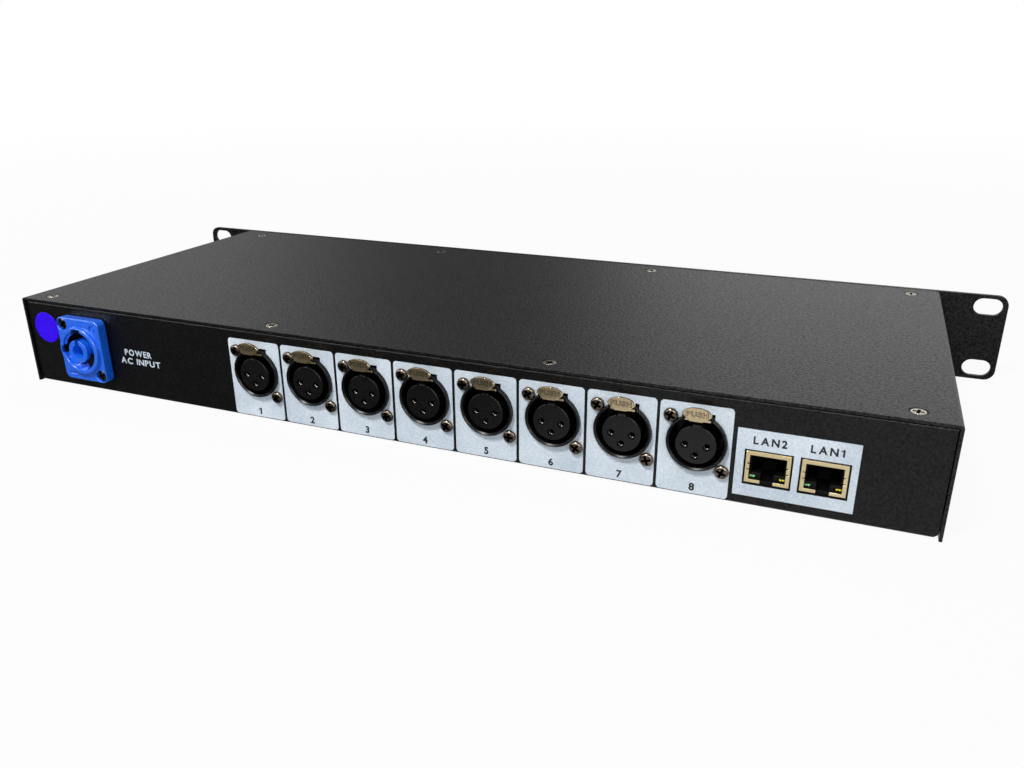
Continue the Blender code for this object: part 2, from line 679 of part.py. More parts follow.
def build_power_inlet():
    """Locking mains inlet: flange, collar, keyed socket with its ledge, and a C-shaped core."""
    x, z = INLET_X, INLET_Z
    flange_front = REAR + FIT + FLANGE_THICKNESS - FIT
    collar_front = flange_front + COLLAR_PROUD
    barrel_back = REAR_INSIDE - BARREL_DEPTH
    floor = collar_front - INLET_SOCKET_DEPTH

    def flange(bm):
        block(bm, (x - FLANGE_WIDTH / 2, REAR + FIT, z - FLANGE_HEIGHT / 2),
              (x + FLANGE_WIDTH / 2, flange_front, z + FLANGE_HEIGHT / 2), "Y", FLANGE_CORNER, 4)

    def collar(bm):
        start = flange_front - FIT
        rod(bm, (x, (start + collar_front) / 2, z), COLLAR_RADIUS, collar_front - start, segments=40,
            end_radius=COLLAR_RADIUS - 0.4 * MM)

    def barrel(bm):
        end = REAR + FLANGE_THICKNESS / 2
        rod(bm, (x, (barrel_back + end) / 2, z), BARREL_RADIUS, end - barrel_back, segments=40)

    def mouth(bm):
        rod(bm, (x, collar_front, z), INLET_SOCKET_RADIUS, LEDGE_DEPTH * 2, segments=40)

    def deep_bore(bm):
        start = floor
        rod(bm, (x, (start + collar_front) / 2, z), LEDGE_RADIUS, collar_front - start, segments=32)

    def keys(bm):
        block(bm, (x - TOP_KEY_WIDTH / 2, floor, z + CORE_RADIUS / 2),
              (x + TOP_KEY_WIDTH / 2, collar_front + FIT, z + TOP_KEY_REACH))

    def side_keys(bm):
        block(bm, (x + CORE_RADIUS / 2, floor, z - SIDE_KEY_WIDTH / 2),
              (x + SIDE_KEY_REACH, collar_front + FIT, z + SIDE_KEY_WIDTH / 2))

    def lower_key(bm):
        reach = INLET_SOCKET_RADIUS * sin(pi / 4) + RAMP_WAY / 2
        block(bm, (x - reach, floor, z - reach), (x - CORE_RADIUS / 2, collar_front - LEDGE_DEPTH / 2,
              z - CORE_RADIUS * 0.2))

    def screw_holes(bm):
        for side in (-1, 1):
            place = (x + side * INLET_SCREW_X, flange_front, z + side * INLET_SCREW_Z)
            rod(bm, place, INLET_SCREW_RADIUS, FLANGE_THICKNESS * 3, segments=16)

    def screw_sinks(bm):
        for side in (-1, 1):
            place = (x + side * INLET_SCREW_X, flange_front, z + side * INLET_SCREW_Z)
            rod(bm, place, INLET_SINK_RADIUS, INLET_SINK_DEPTH * 2, segments=20)

    def core(bm):
        start, end = floor - FIT, collar_front - CORE_RECESS
        rod(bm, (x, (start + end) / 2, z), CORE_RADIUS, end - start, segments=28)

    def core_bore(bm):
        rod(bm, (x, (floor + collar_front) / 2 + FIT, z), CORE_BORE, collar_front - floor, segments=20)

    def core_gap(bm):
        block(bm, (x - CORE_GAP / 2, floor + FIT, z), (x + CORE_GAP / 2, collar_front, z + CORE_RADIUS * 1.1))

    shell = solid("power_inlet_shell", flange, UNIT, BLUE_PLASTIC, (x, REAR, z))
    join(shell, "inlet_collar", collar)
    join(shell, "inlet_barrel", barrel)
    cut(shell, "inlet_mouth", mouth)
    cut(shell, "inlet_deep_bore", deep_bore)
    cut(shell, "inlet_top_key", keys)
    cut(shell, "inlet_side_key", side_keys)
    cut(shell, "inlet_lower_key", lower_key)
    join(shell, "inlet_core", core)
    cut(shell, "inlet_core_bore", core_bore)
    cut(shell, "inlet_core_gap", core_gap)
    cut(shell, "inlet_screw_holes", screw_holes)
    cut(shell, "inlet_screw_sinks", screw_sinks)
    freeze(shell)
    smooth(shell)

    carrier_front = barrel_back - FIT
    carrier_back = carrier_front - CARRIER_DEPTH
    places = {
        "power_contact_line": (-BLADE_REACH, 0.0),
        "power_contact_neutral": (BLADE_REACH, 0.0),
        "power_contact_earth": (0.0, -BLADE_REACH),
    }

    def carrier(bm):
        rod(bm, (x, (carrier_front + carrier_back) / 2, z), CARRIER_RADIUS, CARRIER_DEPTH, segments=32)

    def blade(bm, dx, dz, play, start, end):
        wide, tall = BLADE_THICKNESS / 2 + play, BLADE_WIDTH / 2 + play
        if dz:
            wide, tall = tall, wide
        block(bm, (x + dx - wide, start, z + dz - tall), (x + dx + wide, end, z + dz + tall))

    def slots(bm):
        for dx, dz in places.values():
            blade(bm, dx, dz, FIT, carrier_back - FIT, carrier_back + CARRIER_DEPTH * 0.8)

    insert = solid("power_inlet_insert", carrier, UNIT, BLACK_PLASTIC, (x, REAR, z))
    cut(insert, "carrier_slots", slots)
    freeze(insert)
    smooth(insert)
    for name, (dx, dz) in places.items():
        end = carrier_back + CARRIER_DEPTH * 0.8 - FIT
        home = (x + dx, REAR, z + dz)
        solid(name, lambda bm: blade(bm, dx, dz, 0.0, end - BLADE_LENGTH, end), UNIT, BRASS, home)


def main_board_span():
    """The main board's corners in X and Y."""
    low = min(JACK_XS) - MAIN_BOARD_MARGIN
    high = max(XLR_XS) + SHELL_WIDTH / 2 + MAIN_BOARD_MARGIN / 2
    back = REAR_INSIDE - FIT
    return low, high, back - MAIN_BOARD_DEPTH, back


def main_board_posts():
    """Centres of the posts under the main board, three along each long edge."""
    low, high, front, back = main_board_span()
    inset = POST_RADIUS * 2
    for x in (low + inset, (low + high) / 2, high - inset):
        for y in (front + inset, back - inset):
            yield x, y


def control_board_span():
    """The control board's ends in X."""
    return POWER_LAMP_X - MAIN_BOARD_MARGIN, max(BUTTON_XS) + MAIN_BOARD_MARGIN


def control_board_posts():
    """Centres of the posts behind the control board's corners."""
    low, high = control_board_span()
    for x in (low + POST_RADIUS * 1.5, high - POST_RADIUS * 1.5):
        for level in (-1, 1):
            yield x, CONTROL_Z + level * (CONTROL_BOARD_HEIGHT / 2 - POST_RADIUS * 1.5)


def build_boards():
    """Main board on its posts, control board behind the front wall, and the mains supply."""

    def main_board(bm):
        low, high, front, back = main_board_span()
        block(bm, (low, front, BOARD_BOTTOM), (high, back, BOARD_TOP))

    def control_board(bm):
        low, high = control_board_span()
        rise = CONTROL_BOARD_HEIGHT / 2
        block(bm, (low, CONTROL_BOARD_FRONT, CONTROL_Z - rise),
              (high, CONTROL_BOARD_FRONT + BOARD_THICKNESS, CONTROL_Z + rise))

    def switches(bm):
        face = FRONT_INSIDE + FIT + BUTTON_COLLAR + BUTTON_TAIL + BUTTON_TRAVEL + FIT
        for x in BUTTON_XS:
            half = SWITCH_WIDTH / 2
            block(bm, (x - half, face, CONTROL_Z - half),
                  (x + half, CONTROL_BOARD_FRONT + BOARD_THICKNESS / 2, CONTROL_Z + half))

    def supply(bm):
        front = FRONT_INSIDE + SUPPLY_FROM_FRONT
        block(bm, (SUPPLY_X - SUPPLY_WIDTH / 2, front, TRAY_FLOOR + FIT),
              (SUPPLY_X + SUPPLY_WIDTH / 2, front + SUPPLY_DEPTH, TRAY_FLOOR + FIT + SUPPLY_HEIGHT),
              "Y", 1.0 * MM, 2)

    solid("main_board", main_board, UNIT, BOARD_GREEN)
    board = solid("control_board", control_board, UNIT, BOARD_GREEN)
    join(board, "button_switches", switches)
    freeze(board)
    solid("power_supply", supply, UNIT, ZINC)


def build_front_controls():
    """Display, its window, the push buttons and the lamps."""

    def window(bm):
        half, rise = DISPLAY_WIDTH / 2 - FIT, DISPLAY_HEIGHT / 2 - FIT
        block(bm, (DISPLAY_X - half, PANEL_BACK - PANEL_THICKNESS + FIT, CONTROL_Z - rise),
              (DISPLAY_X + half, PANEL_BACK, CONTROL_Z + rise), "Y", 0.9 * MM, 3)

    def display(bm):
        half, rise = DISPLAY_MODULE_WIDTH / 2, DISPLAY_MODULE_HEIGHT / 2
        block(bm, (DISPLAY_X - half, FRONT_INSIDE + FIT, CONTROL_Z - rise),
              (DISPLAY_X + half, FRONT_INSIDE + FIT + DISPLAY_MODULE_DEPTH, CONTROL_Z + rise),
              "Y", 0.8 * MM, 2)

    solid("display_window", window, UNIT, CLEAR_ACRYLIC)
    solid("display_module", display, UNIT, BLACK_PLASTIC)

    x = BUTTON_XS[0]
    face = PANEL_BACK - PANEL_THICKNESS - BUTTON_PROUD
    collar_front = FRONT_INSIDE + FIT
    tail = collar_front + BUTTON_COLLAR + BUTTON_TAIL

    def cap(bm):
        rod(bm, (x, (face + tail) / 2, CONTROL_Z), BUTTON_RADIUS - 0.4 * MM, tail - face, segments=16)
        verts = [vert for vert in bm.verts if vert.co.y > face + FIT]
        for vert in verts:
            vert.co.x = x + (vert.co.x - x) * BUTTON_RADIUS / (BUTTON_RADIUS - 0.4 * MM)
            vert.co.z = CONTROL_Z + (vert.co.z - CONTROL_Z) * BUTTON_RADIUS / (BUTTON_RADIUS - 0.4 * MM)

    def collar(bm):
        middle = collar_front + BUTTON_COLLAR / 2
        rod(bm, (x, middle, CONTROL_Z), BUTTON_COLLAR_RADIUS, BUTTON_COLLAR, segments=16)

    button = solid("menu_button_1", cap, UNIT, BUTTON_PLASTIC, (x, PANEL_BACK, CONTROL_Z))
    join(button, "button_collar", collar)
    freeze(button)
    smooth(button)
    copies(button, [f"menu_button_{i + 1}" for i in range(1, BUTTON_COUNT)],
           [(other, PANEL_BACK, CONTROL_Z) for other in BUTTON_XS[1:]])

    def lamp(bm):
        front = PANEL_BACK - PANEL_THICKNESS - INDICATOR_PROUD
        back = CONTROL_BOARD_FRONT - FIT
        rod(bm, (POWER_LAMP_X, (front + back) / 2, CONTROL_Z), INDICATOR_RADIUS, back - front, segments=12)
        tip = [edge for edge in bm.edges if all(vert.co.y < front + FIT for vert in edge.verts)]
        bmesh.ops.bevel(bm, geom=tip, offset=INDICATOR_RADIUS * 0.4, segments=2, profile=0.5, affect="EDGES")

    power = solid("power_lamp", lamp, UNIT, RED_LAMP, (POWER_LAMP_X, PANEL_BACK, CONTROL_Z))
    smooth(power)
    home = (LAMP_XS[0], PANEL_BACK, CONTROL_Z)
    first = solid("indicator_lamp_1", None, UNIT, None, home, power.data.copy())
    first.data.materials.clear()
    first.data.materials.append(GREEN_LAMP)
    copies(first, [f"indicator_lamp_{i + 1}" for i in range(1, XLR_COUNT)],
           [(other, PANEL_BACK, CONTROL_Z) for other in LAMP_XS[1:]])


for old in list(bpy.data.objects):
    bpy.data.objects.remove(old, do_unlink=True)

UNIT = collection("art_net_node")
CUTTERS = collection("cutters")

POWDER_COAT = material("black_powder_coat", (0.028, 0.029, 0.031), 0.55)
BLACK_PLASTIC = material("black_plastic", (0.016, 0.016, 0.018), 0.4)
INSERT_PLASTIC = material("black_insert_plastic", (0.03, 0.031, 0.033), 0.45)
BLUE_PLASTIC = material("blue_plastic", (0.014, 0.156, 0.871), 0.35)
NICKEL = material("nickel", (0.6, 0.53, 0.42), 0.3, 1.0)
TINPLATE = material("tinplate", (0.74, 0.63, 0.4), 0.35, 1.0)
BRASS = material("brass", (0.7, 0.5, 0.22), 0.35, 1.0)
BOARD_GREEN = material("circuit_board", (0.02, 0.16, 0.06), 0.5)
ZINC = material("zinc_plate", (0.55, 0.56, 0.57), 0.4, 1.0)
CLEAR_ACRYLIC = material("clear_acrylic", (0.05, 0.07, 0.09), 0.08, alpha=0.5)
BUTTON_PLASTIC = material("button_plastic", (0.05, 0.05, 0.055), 0.45)
GREEN_LAMP = material("green_lamp", (0.12, 0.65, 0.15), 0.3)
YELLOW_LAMP = material("yellow_lamp", (0.8, 0.68, 0.05), 0.3)
RED_LAMP = material("red_lamp", (0.7, 0.04, 0.03), 0.3)

build_front_panel()
build_tray()
build_cover()
build_xlr_shells()
build_xlr_inserts()
build_xlr_latches()
build_ethernet_jacks()
build_power_inlet()
build_boards()
build_front_controls()
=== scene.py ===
"""Looks of an art-net node: a one-unit rack box with eight XLR outputs, two network jacks and a mains inlet.

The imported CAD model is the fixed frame. A connector is drawn as it is seen from its own face, with X to the
right, Y up and Z out of the wall, and is then turned into its place.
"""

import json
import logging
from collections.abc import Callable, Iterable
from dataclasses import dataclass
from enum import Enum
from math import cos, pi, radians, sin, tan

import bmesh
import bpy
from mathutils import Euler, Matrix, Vector

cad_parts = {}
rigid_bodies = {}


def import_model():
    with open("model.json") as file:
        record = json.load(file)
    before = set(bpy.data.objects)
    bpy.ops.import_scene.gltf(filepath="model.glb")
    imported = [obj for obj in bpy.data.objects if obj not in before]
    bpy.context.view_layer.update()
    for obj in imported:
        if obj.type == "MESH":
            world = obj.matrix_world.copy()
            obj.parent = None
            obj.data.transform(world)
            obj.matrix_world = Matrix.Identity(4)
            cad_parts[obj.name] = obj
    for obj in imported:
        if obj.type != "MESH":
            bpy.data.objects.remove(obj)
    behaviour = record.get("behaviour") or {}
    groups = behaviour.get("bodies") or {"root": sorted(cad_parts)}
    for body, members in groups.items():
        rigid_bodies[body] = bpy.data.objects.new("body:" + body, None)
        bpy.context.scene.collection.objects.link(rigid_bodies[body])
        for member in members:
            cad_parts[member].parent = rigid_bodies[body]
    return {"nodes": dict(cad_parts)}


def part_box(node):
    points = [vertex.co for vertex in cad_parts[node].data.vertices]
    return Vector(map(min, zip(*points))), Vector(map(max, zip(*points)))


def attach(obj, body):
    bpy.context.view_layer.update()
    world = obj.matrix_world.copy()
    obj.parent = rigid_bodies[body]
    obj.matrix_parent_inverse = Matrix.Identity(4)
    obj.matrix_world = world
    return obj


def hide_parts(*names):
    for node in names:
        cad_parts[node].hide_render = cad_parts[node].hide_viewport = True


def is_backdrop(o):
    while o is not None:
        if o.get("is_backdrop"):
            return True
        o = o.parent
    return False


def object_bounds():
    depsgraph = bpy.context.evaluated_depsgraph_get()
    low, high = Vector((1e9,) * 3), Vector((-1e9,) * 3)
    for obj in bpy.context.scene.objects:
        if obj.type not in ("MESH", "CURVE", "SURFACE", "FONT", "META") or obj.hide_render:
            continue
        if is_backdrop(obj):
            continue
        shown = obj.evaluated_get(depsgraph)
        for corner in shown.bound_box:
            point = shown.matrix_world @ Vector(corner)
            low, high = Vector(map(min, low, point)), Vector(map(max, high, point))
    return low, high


MM = 0.001
PIERCE = 4 * MM  # how far a shape that opens a wall reaches to each side of it
OVER = 1 * MM  # how far a cutting shape stands past the face that it opens
LAP = 0.3 * MM  # how far two joined shapes reach into each other
GAP = 0.3 * MM  # the room left between two pieces
TOUCH = 1e-7  # how near two points of a drawing are one
WELD = 1e-6  # how near two points of a worked solid are one
SHARP = 40.0  # the angle in degrees from which an edge is sharp
SPACE = 0.4  # the space between two words, as a share of the em
BUTTONS = [f"menu_button_{i}" for i in range(1, 5)]
OUTPUT_LAMPS = [f"indicator_lamp_{i}" for i in range(1, 9)]
LOG = logging.getLogger("art_net_node")
Mesh = bpy.types.Mesh
Material = bpy.types.Material
Object = bpy.types.Object
Socket = bpy.types.NodeSocket
Tree = bpy.types.NodeTree
Place = Vector | tuple[float, float, float]
Outline = list[tuple[float, float]]
Ramp = tuple[float, float, float, float]


# ---------------------------------------------------------------- drawing and nodes


class Facing(Enum):
    """Which way a face looks, as the turn from its own drawing to the unit."""

    UP = (0.0, 0.0, 0.0)
    DOWN = (pi, 0.0, 0.0)
    REAR = (pi / 2, 0.0, pi)
    FRONT = (pi / 2, 0.0, 0.0)

    def at(self, place: Place) -> Matrix:
        """The transform that puts a drawing on this face with its origin at place."""
        return Matrix.Translation(place) @ Euler(self.value).to_matrix().to_4x4()

    def each(self, places: Iterable[Place]) -> list[Matrix]:
        """The transform for each of some places."""
        return [self.at(place) for place in places]


def mm(*lengths: float) -> tuple[float, ...]:
    """Turns millimetres to metres."""
    return tuple(length * MM for length in lengths)


def grid(xs: Iterable[float], ys: Iterable[float], zs: Iterable[float]) -> list[tuple[float, float, float]]:
    """Every place that has its coordinates in three lists."""
    return [(x, y, z) for x in xs for y in ys for z in zs]


def linear(colour: str) -> tuple[float, float, float, float]:
    """Turns an sRGB hex value to linear light.

    Args:
        colour: The value, as in "#1f6df0".

    Returns:
        Red, green, blue and an alpha of 1.
    """
    parts = [int(colour[i:i + 2], 16) / 255 for i in (1, 3, 5)]
    red, green, blue = (c / 12.92 if c <= 0.04045 else ((c + 0.055) / 1.055) ** 2.4 for c in parts)
    return red, green, blue, 1.0


def feed(node: bpy.types.Node, inputs: dict) -> None:
    """Sets or links a node's inputs.

    Args:
        node: The node.
        inputs: For each input, by name or number, a value, a socket, a node that gives its first output, or
            a list of sockets.
    """
    for key, value in inputs.items():
        for one in value if isinstance(value, list) else [value]:
            if isinstance(one, bpy.types.Node):
                one = one.outputs[0]
            if isinstance(one, Socket):
                node.id_data.links.new(one, node.inputs[key])
            else:
                node.inputs[key].default_value = one


def add(tree: Tree, kind: str, inputs: dict | None = None, **settings: object) -> bpy.types.Node:
    """Adds a node to a tree.

    Args:
        tree: The tree that gets the node.
        kind: The node's type name.
        inputs: What feeds its inputs.
        settings: The node's own settings.

    Returns:
        The node.
    """
    node = tree.nodes.new(kind)
    for name, value in settings.items():
        setattr(node, name, value)
    feed(node, inputs or {})
    return node


def ramp(value: object, ends: tuple) -> dict:
    """The inputs of a Map Range node: a value, its range and, if given, the range that it is turned into."""
    return {"Value": value, **dict(enumerate(ends, 1))}


def bare(owner: bpy.types.World | Material) -> Tree:
    """Empties the node tree of a world or material.

    Args:
        owner: The world or material.

    Returns:
        The tree.
    """
    owner.use_nodes = True
    owner.node_tree.nodes.clear()
    return owner.node_tree


def linked(name: str, data: bpy.types.ID) -> Object:
    """Makes an object and links it to the scene.

    Args:
        name: Its name.
        data: Its mesh, curve, light or camera.

    Returns:
        The object.
    """
    host = bpy.data.objects.new(name, data)
    bpy.context.scene.collection.objects.link(host)
    return host


def evaluated(host: Object) -> Mesh:
    """The plain mesh that an object's modifiers give."""
    graph = bpy.context.evaluated_depsgraph_get()
    return bpy.data.meshes.new_from_object(host.evaluated_get(graph))


def eased(corners: list[tuple[float, ...]], closed: bool, steps: int = 5) -> Outline:
    """Rounds the corners of an outline.

    Args:
        corners: The outline's points, each with its rounding as a third number where it has one.
        closed: Whether the last point joins the first.
        steps: How many chords stand for one rounding.

    Returns:
        The outline's points with the roundings in place.
    """
    path = []
    for i, corner in enumerate(corners):
        point = Vector(corner[:2])
        inner = closed or 0 < i < len(corners) - 1
        if len(corner) < 3 or not inner:
            path.append(tuple(point))
            continue
        before = (Vector(corners[i - 1][:2]) - point).normalized()
        after = (Vector(corners[(i + 1) % len(corners)][:2]) - point).normalized()
        half = before.angle(after) / 2
        centre = point + (before + after).normalized() * (corner[2] / sin(half))
        start = (point + before * (corner[2] / tan(half)) - centre).normalized()
        end = (point + after * (corner[2] / tan(half)) - centre).normalized()
        path += [tuple(centre + start.slerp(end, k / steps) * corner[2]) for k in range(steps + 1)]
    return path


def rounded_field(width: float, height: float, corner: float) -> Outline:
    """The outline of a rectangle about the origin with round corners."""
    x, y = width / 2, height / 2
    return eased([(x, y, corner), (-x, y, corner), (-x, -y, corner), (x, -y, corner)], True, 8)


def sector(start: int, end: int, step: int, outer: float, inner: float) -> Outline:
    """Draws the outline of a part of a ring.

    Args:
        start: The angle in degrees where it starts.
        end: The angle where it ends.
        step: The angle between two points.
        outer: The ring's outer radius.
        inner: Its inner radius.

    Returns:
        The outline's points.
    """
    ring = [(outer, x) for x in range(start, end + 1, step)]
    ring += [(inner, x) for x in range(end, start - 1, -step)]
    return [(r * cos(radians(x)), r * sin(radians(x))) for r, x in ring]


class Draft:
    """Closed solids drawn in metres, in a drawing's own coordinates."""

    def __init__(self) -> None:
        """Starts an empty drawing."""
        self.bm = bmesh.new()

    def box(self, low: tuple, high: tuple, corner: float = 0.0, along: int = 2) -> "Draft":
        """Draws a box.

        Args:
            low: Its lowest corner.
            high: Its highest corner.
            corner: The rounding of the four edges along one axis.
            along: The number of that axis.

        Returns:
            This drawing.
        """
        low, high = Vector(low), Vector(high)
        shape = Matrix.Translation((low + high) / 2) @ Matrix.Diagonal((*(high - low), 1.0))
        made = set(bmesh.ops.create_cube(self.bm, size=1.0, matrix=shape)["verts"])
        if corner:
            edges = [e for e in self.bm.edges if e.verts[0] in made
                     and abs((e.verts[1].co - e.verts[0].co)[along]) > 1e-9]
            bmesh.ops.bevel(self.bm, geom=edges, offset=corner, segments=8, profile=0.5, affect="EDGES")
        return self

    def pair(self, low: tuple, high: tuple) -> "Draft":
        """Draws a box and its mirror image across X = 0.

        Args:
            low: The box's lowest corner.
            high: Its highest corner.

        Returns:
            This drawing.
        """
        for side in (-1, 1):
            near, far = sorted((side * low[0], side * high[0]))
            self.box((near, *low[1:]), (far, *high[1:]))
        return self

    def turned(self, profile: list[tuple[float, ...]], centre: tuple = (0.0, 0.0), closed: bool = False,
               segments: int = 96) -> "Draft":
        """Draws a solid of revolution about an axis along Z.

        Args:
            profile: Radius, height and, where a corner is round, its rounding. Both ends are joined to the
                axis, unless the profile is closed.
            centre: Where the axis stands.
            closed: Whether the profile is a ring's section.
            segments: How many sides stand for a circle.

        Returns:
            This drawing.
        """
        if not closed:
            end = [(0.0, profile[-1][1])] if profile[-1][0] else []
            profile = [(0.0, profile[0][1]), *profile, *end]
        turn = [(cos(2 * pi * i / segments), sin(2 * pi * i / segments)) for i in range(segments)]
        rows = []
        for radius, height in eased(profile, closed):
            ring = turn if radius > 1e-9 else [(0.0, 0.0)]
            rows.append([self.bm.verts.new((centre[0] + radius * c, centre[1] + radius * s, height))
                         for c, s in ring])
        for a, b in zip(rows, rows[1:] + (rows[:1] if closed else [])):
            for i in range(segments):
                j = (i + 1) % segments
                corners = [a[i % len(a)], a[j % len(a)], b[j % len(b)], b[i % len(b)]]
                self.bm.faces.new(list(dict.fromkeys(corners)))
        return self

    def rod(self, radius: float, low: float, high: float, centre: tuple = (0.0, 0.0),
            segments: int = 96) -> "Draft":
        """Draws a round rod along Z between two heights."""
        return self.turned([(radius, low), (radius, high)], centre, segments=segments)

    def loft(self, outlines: list[list[tuple[float, float, float]]]) -> "Draft":
        """Draws a solid whose skin runs through outlines of as many points each.

        Args:
            outlines: The outlines, from one end to the other.

        Returns:
            This drawing.
        """
        rows = [[self.bm.verts.new(point) for point in outline] for outline in outlines]
        self.bm.faces.new(rows[0])
        self.bm.faces.new(rows[-1])
        for low, high in zip(rows, rows[1:]):
            for i in range(len(low)):
                j = (i + 1) % len(low)
                self.bm.faces.new((low[i], low[j], high[j], high[i]))
        return self

    def prism(self, outline: Outline, low: float, high: float, taper: float = 1.0) -> "Draft":
        """Draws a prism along Z.

        Args:
            outline: Its section's points.
            low: Where it starts.
            high: Where it ends.
            taper: The section's size at its start, as a share of that at its end.

        Returns:
            This drawing.
        """
        start = [(x * taper, y * taper, low) for x, y in outline]
        return self.loft([start, [(x, y, high) for x, y in outline]])

    def stamp(self, mesh: Mesh, *places: Matrix) -> "Draft":
        """Draws a finished shape again, at each of some places or else where it is.

        Args:
            mesh: The shape.
            places: The transform to each place.

        Returns:
            This drawing.
        """
        for place in places or (Matrix.Identity(4),):
            known = len(self.bm.verts)
            self.bm.from_mesh(mesh)
            self.bm.verts.ensure_lookup_table()
            bmesh.ops.transform(self.bm, matrix=place, verts=self.bm.verts[known:])
        return self

    def mesh(self, place: Matrix | None = None) -> Mesh:
        """Ends the drawing.

        Args:
            place: The transform from the drawing to the unit.

        Returns:
            A plain mesh whose faces point outwards.
        """
        bmesh.ops.remove_doubles(self.bm, verts=self.bm.verts, dist=TOUCH)
        bmesh.ops.recalc_face_normals(self.bm, faces=self.bm.faces)
        if place:
            self.bm.transform(place)
        made = bpy.data.meshes.new("drawn")
        self.bm.to_mesh(made)
        self.bm.free()
        return made


def solid(shape: Draft | Mesh) -> Mesh:
    """A shape's mesh, whether it is still a drawing or not."""
    return shape.mesh() if isinstance(shape, Draft) else shape


class Workpiece:
    """A solid worked as a toolmaker does it: shapes joined, hollows cut, then the edges broken."""

    def __init__(self, start: Draft | Mesh) -> None:
        """Takes the shape that the work starts from."""
        self.host = linked("workpiece", solid(start))
        self.tools: list[Object] = []

    def work(self, operation: str, shapes: tuple[Draft | Mesh, ...]) -> "Workpiece":
        """Joins or cuts shapes, one after the other.

        Args:
            operation: UNION or DIFFERENCE.
            shapes: The shapes.

        Returns:
            This workpiece.
        """
        for shape in shapes:
            self.tools.append(linked("tool", solid(shape)))
            step = self.host.modifiers.new("work", "BOOLEAN")
            step.operation = operation
            step.object = self.tools[-1]
            step.solver = "EXACT"
        return self

    def join(self, *shapes: Draft | Mesh) -> "Workpiece":
        """Joins shapes."""
        return self.work("UNION", shapes)

    def cut(self, *shapes: Draft | Mesh) -> "Workpiece":
        """Cuts shapes away."""
        return self.work("DIFFERENCE", shapes)

    def soften(self, width: float, angle: float = SHARP, steps: int = 3) -> "Workpiece":
        """Breaks the sharp edges.

        Args:
            width: How much of each face goes.
            angle: The least angle in degrees that counts as sharp.
            steps: How many chords round an edge.

        Returns:
            This workpiece.
        """
        step = self.host.modifiers.new("broken edges", "BEVEL")
        step.width = width
        step.segments = steps
        step.limit_method = "ANGLE"
        step.angle_limit = radians(angle)
        return self

    def mesh(self, place: Matrix | None = None) -> Mesh:
        """Ends the work.

        Args:
            place: The transform from the drawing to the unit.

        Returns:
            The worked solid as a plain mesh.
        """
        made = evaluated(self.host)
        for used in [self.host, *self.tools]:
            bpy.data.objects.remove(used)
        bm = bmesh.new()
        bm.from_mesh(made)
        bmesh.ops.remove_doubles(bm, verts=bm.verts, dist=WELD)
        if place:
            bm.transform(place)
        bm.to_mesh(made)
        bm.free()
        return made


class Recipe:
    """A Geometry Nodes tree with named inputs, whose result is taken as a plain mesh."""

    def __init__(self, name: str, **inputs: str) -> None:
        """Starts the tree.

        Args:
            name: What it makes.
            inputs: Each input's name and the kind of its socket.
        """
        self.tree = bpy.data.node_groups.new(name, "GeometryNodeTree")
        face = self.tree.interface
        for label, kind in {"Geometry": "Geometry", **inputs, "finish": "Material"}.items():
            face.new_socket(label, in_out="INPUT", socket_type=f"NodeSocket{kind}")
        face.new_socket("Geometry", in_out="OUTPUT", socket_type="NodeSocketGeometry")
        self.inputs = add(self.tree, "NodeGroupInput").outputs

    def add(self, kind: str, inputs: dict, **settings: object) -> Socket:
        """Adds a node and gives its first output. A text among its inputs names one of the tree's inputs."""
        named = {key: self.inputs[value] if isinstance(value, str) else value
                 for key, value in inputs.items()}
        return add(self.tree, kind, named, **settings).outputs[0]

    def close(self, geometry: Socket) -> "Recipe":
        """Ends the tree with real geometry in the piece's finish.

        Args:
            geometry: What the tree has made.

        Returns:
            This recipe.
        """
        real = self.add("GeometryNodeRealizeInstances", {0: geometry})
        painted = self.add("GeometryNodeSetMaterial", {"Geometry": real, "Material": "finish"})
        add(self.tree, "NodeGroupOutput", {0: painted})
        return self

    def close_row(self, geometry: Socket) -> "Recipe":
        """Ends the tree with a shape repeated along X by the inputs count and pitch.

        Args:
            geometry: The shape.

        Returns:
            This recipe.
        """
        step = self.add("ShaderNodeCombineXYZ", {"X": "pitch"})
        row = self.add("GeometryNodeMeshLine", {"Count": "count", "Offset": step})
        return self.close(self.add("GeometryNodeInstanceOnPoints", {"Points": row, "Instance": geometry}))

    def grow(self, carrier: Mesh, **values: object) -> Mesh:
        """Runs the tree on a mesh.

        Args:
            carrier: The points or lines that the tree works on.
            values: A value for each named input.

        Returns:
            The result as a plain mesh.
        """
        host = linked(self.tree.name, carrier)
        modifier = host.modifiers.new(self.tree.name, "NODES")
        modifier.node_group = self.tree
        for item in self.tree.interface.items_tree:
            if item.in_out == "INPUT" and item.name in values:
                modifier[item.identifier] = values[item.name]
        made = evaluated(host)
        host.modifiers.clear()
        bpy.data.objects.remove(host)
        return made


def points(places: list[Place], lines: bool = False) -> Mesh:
    """Makes a mesh of bare points, or of the line through them.

    Args:
        places: The points.
        lines: Whether a line joins them.

    Returns:
        The mesh.
    """
    made = bpy.data.meshes.new("points")
    links = [(i, i + 1) for i in range(len(places) - 1)] if lines else []
    made.from_pydata([tuple(p) for p in places], links, [])
    return made


